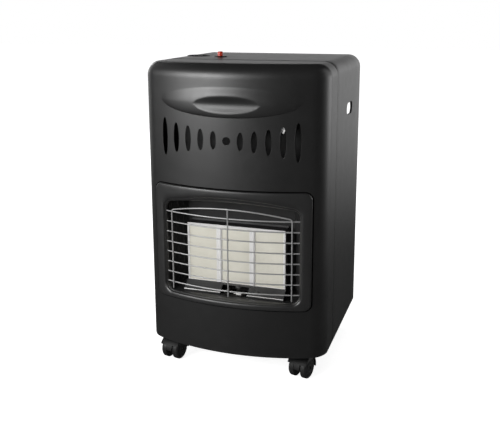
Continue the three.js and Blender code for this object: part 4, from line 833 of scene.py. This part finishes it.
def plaque_strip(x):
    """A strip between two plaques, with a rounded ridge along its right half."""
    half = PLAQUE_STRIP / 2
    front = PLAQUE_FRONT - FIT - SHEET
    line = [(x - half, front + SHEET), (x - half, front)]
    line += [(x - 0.6, front), (x + 0.2, front - 0.5)]
    turns = (2.7, 2.2, 1.57, 0.9, 0.4)
    line += [(x + 3.1 + 2.3 * math.cos(a), front - 0.9 - 1.3 * math.sin(a)) for a in turns]
    line += [(x + half - 0.6, front), (x + half, front), (x + half, front + SHEET)]
    return prism(line, PLAQUE_BASE + PLAQUE_END_BORDER, PLAQUE_TOP - PLAQUE_END_BORDER)


dress("plaque_border", plaque_frame(), BRIGHT, ["plaque_frame"], bevel=0.3)
for i, x in enumerate((-0.5, 0.5)):
    strip = plaque_strip(x * (PLAQUE_WINDOW + PLAQUE_STRIP))
    dress(f"plaque_strip_{i + 1}", strip, BRIGHT, sharp=40)

HOLE_PITCH = 2.9
HOLE_RADIUS = 0.75
HOLE_DEPTH = 2.5
HOLE_TAPER = 0.8


def plaque(x):
    """A fireclay tile with its rows of fine burner holes."""
    half = PLAQUE_WINDOW / 2 + PLAQUE_LAP
    border = PLAQUE_END_BORDER - PLAQUE_LAP
    front, rear = PLAQUE_FRONT, PLAQUE_FRONT + PLAQUE_THICKNESS
    us = spaced(x - half, x + half, HOLE_PITCH)
    vs = spaced(PLAQUE_BASE + border, PLAQUE_TOP - border, HOLE_PITCH)
    shape = Shape()
    for i, (u0, u1) in enumerate(zip(us, us[1:])):
        for j, (v0, v1) in enumerate(zip(vs, vs[1:])):
            cell = [(u0, front, v0), (u1, front, v0), (u1, front, v1), (u0, front, v1)]
            if i in (0, len(us) - 2) or j in (0, len(vs) - 2):
                shape.face(cell)
                continue
            middle = ((u0 + u1) / 2, (v0 + v1) / 2)
            rings = [cell]
            for y, radius in ((front, HOLE_RADIUS), (front + HOLE_DEPTH, HOLE_RADIUS * HOLE_TAPER)):
                rings.append([(u, y, v) for u, v in arc(*middle, radius, 225, 495, 3)])
            shape.join(loft(rings, first_cap=False))
    rim = [(u, vs[0]) for u in us[:-1]] + [(us[-1], v) for v in vs[:-1]]
    rim += [(u, vs[-1]) for u in us[:0:-1]] + [(us[0], v) for v in vs[:0:-1]]
    return shape.join(loft([[(u, y, v) for u, v in rim] for y in (front, rear)], first_cap=False))


for i, x in enumerate(PLAQUE_XS):
    dress(f"plaque_tile_{i + 1}", plaque(x), CERAMIC, [f"ceramic_plaque_{i + 1}"])


def tray():
    """The bright reflecting shelf under the plaques, in two parts round the pilot."""
    lap = PLAQUE_FRONT - 2 * FIT - SHEET
    shelf = PLAQUE_BASE + 3 - FIT
    line = [(lap, shelf + 2), (lap - 0.8, shelf + 1.4), (TRAY_FRONT + 1.2, TRAY_FRONT_Z + 0.6)]
    line += arc(TRAY_FRONT + 0.4, TRAY_FRONT_Z - 1, 1.4, 70, 230, 6)
    line += [(TRAY_FRONT, TRAY_FRONT_Z - 4), (TRAY_FRONT + 0.8, TRAY_FRONT_Z - 4)]
    line += [(TRAY_FRONT + 1.4, TRAY_FRONT_Z - 1.4), (lap - 1.4, PLAQUE_BASE - 0.4), (lap, PLAQUE_BASE - 0.4)]
    shape = Shape()
    for half in TRAY_HALVES:
        shape.join(prism(line, *half, "x"))
    bridge = [(lap, shelf + 2), (lap - 4, shelf - 0.4), (lap - 4, shelf - 1.8), (lap, PLAQUE_BASE - 0.4)]
    return shape.join(prism(bridge, *PILOT_GAP, "x"))


def tray_edges():
    """The bright rolled bead along the front of each half of the shelf."""
    shape = Shape()
    for half in TRAY_HALVES:
        bead = [(x, TRAY_FRONT + 0.3, TRAY_FRONT_Z - 0.2) for x in spaced(*half, 12)]
        shape.join(tube(bead, TRAY_BEAD))
    return shape


def burner_cover():
    """The dark plate that closes the gaps between the burner bodies from above."""
    front, rear = PLAQUE_FRONT, BURNER_COVER["rear"]
    top = PLAQUE_TOP - BURNER_COVER["drop"]
    span = PLAQUE_HALF_SPAN - BURNER_COVER["inset"]
    lip = top + BURNER_COVER["lip"]
    line = [(front + 0.1, top - 0.8), (front + 0.1, top - 0.1), (front + 0.6, top), (rear, top)]
    line += [(rear + 1.5, lip), (rear + 2.2, lip), (rear + 0.6, top - 0.8)]
    return prism(line, -span, span, "x")


def shell_ribs():
    """Upright stiffening beads pressed in the firebox's side walls."""
    shape = Shape()
    (x0, y0), (x1, y1) = SHELL_WALL
    for side in (-1, 1):
        for t in RIB_PLACES:
            x, y = side * (x0 + (x1 - x0) * t), y0 + (y1 - y0) * t
            shape.join(tube([(x, y, z) for z in spaced(*RIB_SPAN, 20)], RIB_DIAMETER, 10))
    return shape


dress("shell_ribs", shell_ribs(), INNER_PAINT, sharp=50)
dress("tray_skin", tray(), TRAY, ["lower_deflector"], sharp=40)
dress("tray_edges", tray_edges(), BRIGHT, sharp=50)
dress("burner_cover", burner_cover(), INNER_PAINT, sharp=40)

# ---- Controls ----


def dish():
    """The sunk cup round the knob."""
    r = DISH["radius"]
    inner, lip = r - DISH["wall"], r + DISH["flange"]
    rim, low = CABINET_TOP + FIT, CABINET_TOP - DISH["depth"]
    floor = low + DISH["wall"]
    profile = [(DISH["hole"], low), (r, low), (r, rim), (lip, rim), (lip, rim + 0.5), (lip - 0.5, rim + 1.1)]
    profile += [(lip - 1.2, rim + 1.2), (inner + 1, rim + 1.2), (inner + 0.3, rim + 0.9), (inner, rim)]
    profile += [(inner, floor + 2), (inner - 0.6, floor + 0.6), (inner - 2, floor), (DISH["hole"], floor)]
    return lathe(profile, 72, CONTROL)


def knob():
    """A round knob with a ribbed skirt and a raised finger bar."""
    floor = CABINET_TOP - DISH["depth"] + DISH["wall"] + KNOB["travel"] + 1
    top = CABINET_TOP + KNOB["proud"]
    r, hole = KNOB["radius"], KNOB["hole"]
    x0, y0 = CONTROL
    profile = [(hole, floor), (r - 1, floor), (r, floor + 1.2), (r - 0.5, top - 6.5), (r - 1.2, top - 5.4)]
    profile += [(r - 3, top - 5), (6, top - 5), (6, top - 5.4), (hole, top - 5.6)]

    def ribbed(p):
        dx, dy = p[0] - x0, p[1] - y0
        reach = math.hypot(dx, dy)
        if reach < r - 2 or p[2] > top - 6:
            return p
        k = 1 - KNOB["rib"] / reach * (0.5 + 0.5 * math.cos(math.atan2(dy, dx) * KNOB["ribs"]))
        return (x0 + dx * k, y0 + dy * k, p[2])

    skirt = lathe(profile, 96, CONTROL).moved(ribbed)
    half, foot = r - 2.2, top - 7
    section = [(-4, 0), (4, 0), (3.8, 5), (3.2, 6.4), (2, 7), (-2, 7), (-3.2, 6.4), (-3.8, 5)]
    taper = ((half, 0.72), (half - 0.8, 0.9), (half - 2.5, 1))
    ends = [(-y, k) for y, k in taper] + list(reversed(taper))
    return skirt.join(loft([[(x0 + u * k, y0 + y, foot + v * k) for u, v in section] for y, k in ends]))


def pointer():
    x, y, top = *CONTROL, CABINET_TOP + KNOB["proud"]
    half, start, end = POINTER["half"], y + POINTER["start"], y + POINTER["end"]
    return block(x - half, x + half, start, end, top - POINTER["deep"], top)


def bezel():
    """The igniter's barrel, with a stepped ring on the cabinet's top."""
    r, barrel, base = BEZEL.values()
    hole = BUTTON["radius"] + FIT
    foot = CABINET_TOP - BUTTON["sunk"] - BUTTON["travel"] - 1
    profile = [(0, base), (barrel - 1, base), (barrel, base + 1)]
    ring = [(barrel, FIT), (r, FIT), (r, 0.8), (r - 0.6, 1.6), (r - 1.8, 2.0), (hole + 1.8, 2.4)]
    ring += [(hole + 0.8, 2.2), (hole, 1.4)]
    profile += [(u, CABINET_TOP + v) for u, v in ring] + [(hole, foot), (0, foot)]
    return lathe(profile, 60, IGNITER)


def button():
    r, foot, top = BUTTON["radius"], CABINET_TOP - BUTTON["sunk"], CABINET_TOP + BUTTON["proud"]
    profile = [(0, foot), (r, foot), (r, top - 2), (r - 0.3, top - 1), (r - 1.0, top - 0.3), (r - 2, top)]
    return lathe(profile + [(2.5, top - 0.25), (0, top - 0.35)], 48, IGNITER)


dress("dish_skin", dish(), DISH_PLASTIC, ["control_dish"])
dress("knob_skin", knob(), KNOB_PLASTIC, ["control_knob"], body="knob")
dress("knob_pointer", pointer(), WHITE, body="knob")
dress("bezel_skin", bezel(), BEZEL_PLASTIC, ["igniter_bezel"])
dress("button_skin", button(), RED, ["igniter_button"], body="igniter")

# ---- Screws and clips ----


SCREW = [(0, 0.5), (1.3, 0.5), (1.5, 1.7), (2.4, 1.6), (3.1, 1.1), (3.5, 0.3), (3.5, -0.4), (0, -0.4)]
SCREW_XS = (-150, -50, 50, 150)
CLIP_X = 4 * SLOT_PITCH - 2
CLIP_TONGUE = [(-6.5, 588), (-6.2, 578), (-4, 570), (-1, 565.5), (1, 565.5), (4, 570), (6.2, 578), (6.5, 588)]
CLIP_DEPTHS = (2.6, 3.4)  # behind the panel


def screw(x, y, z):
    """A low pan-head screw with a socket, which faces the rear on an upright sheet."""
    return lathe(SCREW, 20).moved(lambda p: (x + p[0], y + p[2], z + p[1]))


def shield_screws():
    low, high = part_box("heat_shield")
    rear, foot, head = high.y / MM + Y_SHIFT, low.z / MM, high.z / MM
    shape = Shape()
    for x in SCREW_XS:
        for z in (head - 14, head - 120, foot + 20):
            shape.join(screw(x, rear, z))
    return shape


def panel_clip():
    """The bright spring clip behind the right-hand slots."""
    face = bow(CLIP_X + 7) + SHEET
    tongue = prism([(CLIP_X + u, z) for u, z in CLIP_TONGUE], *[face + deep for deep in CLIP_DEPTHS], "y")
    return tongue.join(block(CLIP_X + 2, CLIP_X + 6, face - 0.6, face + 3, 584.5, 587.5))


dress("shield_screws", shield_screws(), CASTER_STEEL, sharp=40)
dress("panel_clip", panel_clip(), BRIGHT, sharp=40)

# ---- Rear cover ----


def rear_cover():
    """A flanged sheet with a field pressed into it."""
    x, base, top, flange, sheet = COVER.values()
    rear, front = CABINET_REAR, CABINET_REAR - sheet
    press, slope = FIELD["press"], FIELD["slope"]

    def edge(y):
        return [(u, y, w) for u, w in rounded_box(-x, x, base, top, 1.5)]

    def field(y, inset):
        reach, foot = x - FIELD["margin"] - inset, base + FIELD["margin"] + inset
        line = rounded_box(-reach, reach, foot, FIELD["top"] - inset, FIELD["radius"] - inset)
        return [(u, y, w) for u, w in line]

    rings = [field(front - press, slope), field(front, 0.3), edge(front), edge(rear)]
    steps = ((-0.6, 0), (0, 0), (0.6, 0.12), (slope - 0.6, 0.88), (slope, 1), (slope + 0.6, 1))
    shape = loft(rings + [field(rear - press * share, inset) for inset, share in steps])
    reach = (rear - flange, front + 0.1)
    shape.join(blocks(x - sheet, x, *reach, base + COVER_FLANGE_BASE, top))
    return shape.join(block(-x + sheet, x - sheet, *reach, top - sheet, top))


def louvre_places():
    heights = [LOUVRE["base"] + row * LOUVRE["pitch"] for row in range(LOUVRE["rows"])]
    return [(x, z) for z in heights for x in (-LOUVRE["x"], LOUVRE["x"])]


def cover_openings():
    reach = (CABINET_REAR - 6, CABINET_REAR + 5)
    w, h, middle = FINGER_SLOT["width"] / 2, FINGER_SLOT["height"] / 2, FINGER_SLOT["z"]
    tools = prism(rounded_box(-w, w, middle - h, middle + h, h, 10), *reach, "y")
    half = LOUVRE["width"] / 2
    for x, z in louvre_places():
        tools.join(block(x - half, x + half, *reach, z, z + LOUVRE["height"]))
    return tools


dress("cover_skin", rear_cover(), PAINT, ["rear_cover"], cover_openings(), bevel=0.35, body="rear_cover")


def louvre_hood(x, z):
    """A louvre's pressed-in hood: a shallow half-round roof on the inside of its slot."""
    half, height = LOUVRE["width"] / 2, LOUVRE["height"]
    front = CABINET_REAR - COVER["sheet"] - FIELD["press"]
    taper = ((half, 0.05), (half - 3, 0.6), (half - 8, 1))
    rings = []
    for u, k in [(-u, k) for u, k in taper] + list(reversed(taper)):
        turns = [(math.cos(a), math.sin(a)) for a in (0, 0.5, 1.0, 1.5)]
        outer = [(front - LOUVRE["deep"] * k * c, z + height - (height + 1) * (1 - s)) for c, s in turns]
        inner = [(y + 0.8, w - 0.3) for y, w in reversed(outer)]
        rings.append([(x + u, min(y, front - 0.05), w) for y, w in outer + inner])
    return loft(rings)


louvres = Shape().join(*[louvre_hood(x, z) for x, z in louvre_places()])
dress("cover_louvres", louvres, PAINT, body="rear_cover")

# ---- Casters ----


def caster_place(corner):
    """A change from a caster's own axes, with its stem at the origin, to the heater's."""
    x, y, yaw = CASTERS[corner]
    c, s = math.cos(math.radians(yaw)), math.sin(math.radians(yaw))
    return lambda p: (x + c * p[0] - s * p[1], y + s * p[0] + c * p[1], p[2])


def along_axle(profile, steps):
    """A profile of (radius, distance along the axle) turned about the wheels' axis."""
    return lathe(profile, steps).moved(lambda p: (p[2], -TRAIL + p[0], WHEEL["radius"] + p[1]))


def wheel(side):
    r, inner, out = WHEEL["radius"], WHEEL["inner"], WHEEL["inner"] + WHEEL["width"]
    profile = [(WHEEL["hole"], inner), (r - 1.2, inner), (r - 0.3, inner + 0.5), (r, inner + 1.4)]
    rim = [(0, 5.5), (0.4, 4.2), (1.2, 3), (2.6, 1.9), (4.5, 1.1), (6, 0.7), (6.6, 1.4), (7.6, 1.4)]
    profile += [(r - u, out - v) for u, v in rim + [(8.2, 0.4), (11, 0)]]
    hub = [(9, 0), (8.2, 0.7), (7.4, 0.7), (6.8, 0.1), (3.6, 0.2), (WHEEL["hole"], 1)]
    profile += [(u, out - v) for u, v in hub]
    return along_axle([(a, side * b) for a, b in profile], 64)


def hood_shell():
    """The cover over the two wheels, with the disc between them and the boss round the stem."""
    web, side, inner, outer, start, end = HOOD.values()
    middle = (-TRAIL, WHEEL["radius"])
    lip = ((side, 1.2), (side - 0.5, 0.4), (side - 1.5, 0))
    rings = []
    for x, drop in [(-x, drop) for x, drop in lip] + list(reversed(lip)):
        line = arc(*middle, outer - drop, start, end, 36) + arc(*middle, inner, end, start, 36)
        rings.append([(x, y, z) for y, z in line])
    shape = loft(rings)
    disc = arc(*middle, inner + 0.5, start - 34, end + 28, 40) + arc(*middle, 8, end + 51, start + 309, 16)
    rings = []
    for x, k in ((-web, 0.985), (-web + 0.5, 1), (web - 0.5, 1), (web, 0.985)):
        rings.append([(x, middle[0] + (y - middle[0]) * k, middle[1] + (z - middle[1]) * k) for y, z in disc])
    shape.join(loft(rings))
    hole, r, base, top = BOSS.values()
    profile = [(hole, base), (r - 0.6, base), (r, base + 0.6), (r, top - 1), (r - 1, top), (hole, top)]
    return shape.join(lathe(profile, 40))


for corner in CASTERS:
    name = f"caster_{corner}"
    put = caster_place(corner)
    for side, word in ((-1, "left"), (1, "right")):
        piece = wheel(side).moved(put)
        dress(f"{name}_tyre_{word}", piece, WHEEL_NYLON, [f"{name}_wheel_{word}"], body=f"{name}_wheels")
    # the hood's nylon carries painted shade for the shadow of the cabinet above
    hood = hood_shell().moved(put)
    dress(f"{name}_hood_skin", hood, HOOD_NYLON_PAINTED_SHADE, [f"{name}_hood"], body=f"{name}_swivel")

# ---- Finishes of the frame's own nodes ----

NODE_FINISHES = (
    # the heat shield and top baffle take zinc painted dark as the shade behind the slots
    (ZINC_PAINTED_DARK, "heat_shield", "top_baffle"),
    (ZINC, "injector_bracket", "burner_body_", "igniter_nut"),
    (BRASS, "injector_", "hose_nozzle", "tap_plug"),
    (ALLOY, "gas_valve_body"),
    (PIPE, "gas_pipe_", "pilot_pipe"),
    (COPPER, "thermocouple"),
    (LEAD, "ignition_lead"),
    (PILOT, "pilot_bracket", "pilot_burner"),
    (WHITE, "spark_electrode", "igniter_cell"),
    (SPINDLE, "valve_spindle"),
    (INNER_PAINT, "firebox_shell", "floor_tray"),
    (CASTER_STEEL, "caster_"),
)


def finish_of(node):
    """The finish whose name here is the longest that the node's name starts with."""
    fits = [(len(key), row[0]) for row in NODE_FINISHES for key in row[1:] if node.startswith(key)]
    return max(fits, key=lambda fit: fit[0])[1] if fits else PAINT


for node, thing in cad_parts.items():
    thing.data.materials.clear()
    thing.data.materials.append(finish_of(node))

# ---- Floor, backdrop and light ----


SEEN = ("Is Camera Ray", "Is Glossy Ray", "Is Transmission Ray")
ROOM_LIGHT = 0.34
FLOOR_GREY = 0.86
FLOOR_GLOW = 0.84
FLOOR_REACH = 14.0
CLOTH_REACH = 13.0
CLOTH_HEIGHT = 0.0008
CLOTH_LEVEL = 0.04
FADE_ASIDE = 0.6
FADE = (1.2, 4.0, CLOTH_LEVEL, 0.7)  # metres behind the heater, and the floor cloth's level there
DOME_RADIUS = 4.2
DOME_SIDE = 96  # how far the dark cloth reaches round the front, in degrees to either side
DOME_BACK = 65  # and over the heater towards the back
DOME_HALF_WIDTH = 3.5  # of the part that reaches back
CARD_SPAN = (108, 134)  # a pale card to the right, in degrees round from the front
CARD_RADIUS = 3.0
CARD_HEIGHTS = (0.02, 0.9)
CARD_LEVEL = 3.2


def seen(nodes):
    """1 for the rays that show a background and 0 for the rest."""
    path = nodes.add("LightPath").outputs
    total = path[SEEN[0]]
    for kind in SEEN[1:]:
        total = nodes.math("MAXIMUM", _0=total, _1=path[kind])
    return total


def add_world():
    world = bpy.data.worlds.new("studio")
    bpy.context.scene.world = world
    nodes = Nodes(world)
    room, shown = nodes.light("Background", ROOM_LIGHT), nodes.light("Background", 1.0)
    nodes.show(nodes.add("MixShader", Fac=seen(nodes), _1=room, _2=shown).outputs["Shader"], "World Output")


def floor_material():
    material = bpy.data.materials.new("pale_floor")
    nodes = Nodes(material)
    nodes.feed(nodes.shader, Base_Color=colour(FLOOR_GREY), Roughness=0.9, Specular_IOR_Level=0.0)
    glow = nodes.light("Emission", nodes.math("MULTIPLY", _0=seen(nodes), _1=FLOOR_GLOW))
    nodes.show(nodes.add("AddShader", _0=nodes.shader.outputs["BSDF"], _1=glow).outputs["Shader"])
    return material


def cloth_material(name, level=CLOTH_LEVEL, fade=None):
    """Cloth or card of one level, or cloth that fades to a paler one behind and aside."""
    material = bpy.data.materials.new(name)
    nodes = Nodes(material)
    if fade:
        aside = nodes.math("ABSOLUTE", _0=nodes.along("X"))
        behind = nodes.math("MULTIPLY_ADD", _0=aside, _1=FADE_ASIDE, _2=nodes.along("Y"))
        level = nodes.spread(behind, *fade)
    nodes.show(nodes.light("Emission", level))
    return material


def stage_object(name, shape, material):
    mesh = bpy.data.meshes.new(name)
    mesh.from_pydata(shape.points, [], shape.faces)
    mesh.materials.append(material)
    thing = add_object(name, mesh)
    return thing


def level_sheet(reach, z):
    return grid([[(-reach, y, z), (reach, y, z)] for y in (-reach, reach)])


def dome():
    """Cloth in metres over the front of the room, with a band that reaches back over the heater."""

    def at(turn, height):
        flat = DOME_RADIUS * math.cos(height)
        return (flat * math.sin(turn), -flat * math.cos(turn), DOME_RADIUS * math.sin(height))

    turns = [math.radians(DOME_SIDE * (i / 12 - 1)) for i in range(25)]
    front = [[at(turn, math.radians(-2 + 92 * j / 12)) for turn in turns] for j in range(13)]
    back = []
    for j in range(7):
        _, y, z = at(0, math.radians(90 + DOME_BACK * j / 6))
        back.append([(-DOME_HALF_WIDTH, y, z), (DOME_HALF_WIDTH, y, z)])
    return grid(front).join(grid(back))


def add_cloths():
    """Dark cloth over the front of the room and on the floor, and a pale card, for reflections only."""
    turns = [math.radians(angle) for angle in CARD_SPAN]
    ends = [(CARD_RADIUS * math.sin(a), -CARD_RADIUS * math.cos(a)) for a in turns]
    card = grid([[(*end, z) for end in ends] for z in CARD_HEIGHTS])
    floor_cloth = level_sheet(CLOTH_REACH, CLOTH_HEIGHT)
    for thing in (
        stage_object("studio_cloth", dome(), cloth_material("dark_cloth")),
        stage_object("floor_cloth", floor_cloth, cloth_material("faded_cloth", fade=FADE)),
        stage_object("edge_card", card, cloth_material("pale_card", CARD_LEVEL)),
    ):
        for ray in ("camera", "diffuse", "shadow", "transmission", "volume_scatter"):
            setattr(thing, "visible_" + ray, False)


def add_softbox(name, at, aim, size, power):
    data = bpy.data.lights.new(name, "AREA")
    data.shape = "RECTANGLE"
    data.size, data.size_y = size
    data.energy = power
    lamp = add_object(name, data)
    lamp.location = at
    lamp.rotation_euler = (Vector(aim) - Vector(at)).to_track_quat("-Z", "Y").to_euler()
    lamp.visible_camera = False


add_world()
stage_object("floor", level_sheet(FLOOR_REACH, 0), floor_material())
add_cloths()
add_softbox("key", (-1.17, -1.87, 1.06), (0, -0.2, 0.5), (1.18, 1.08), 38)
add_softbox("rear", (-2.1, 2.1, 1.25), (0, 0.2, 0.4), (1.1, 1.3), 26)
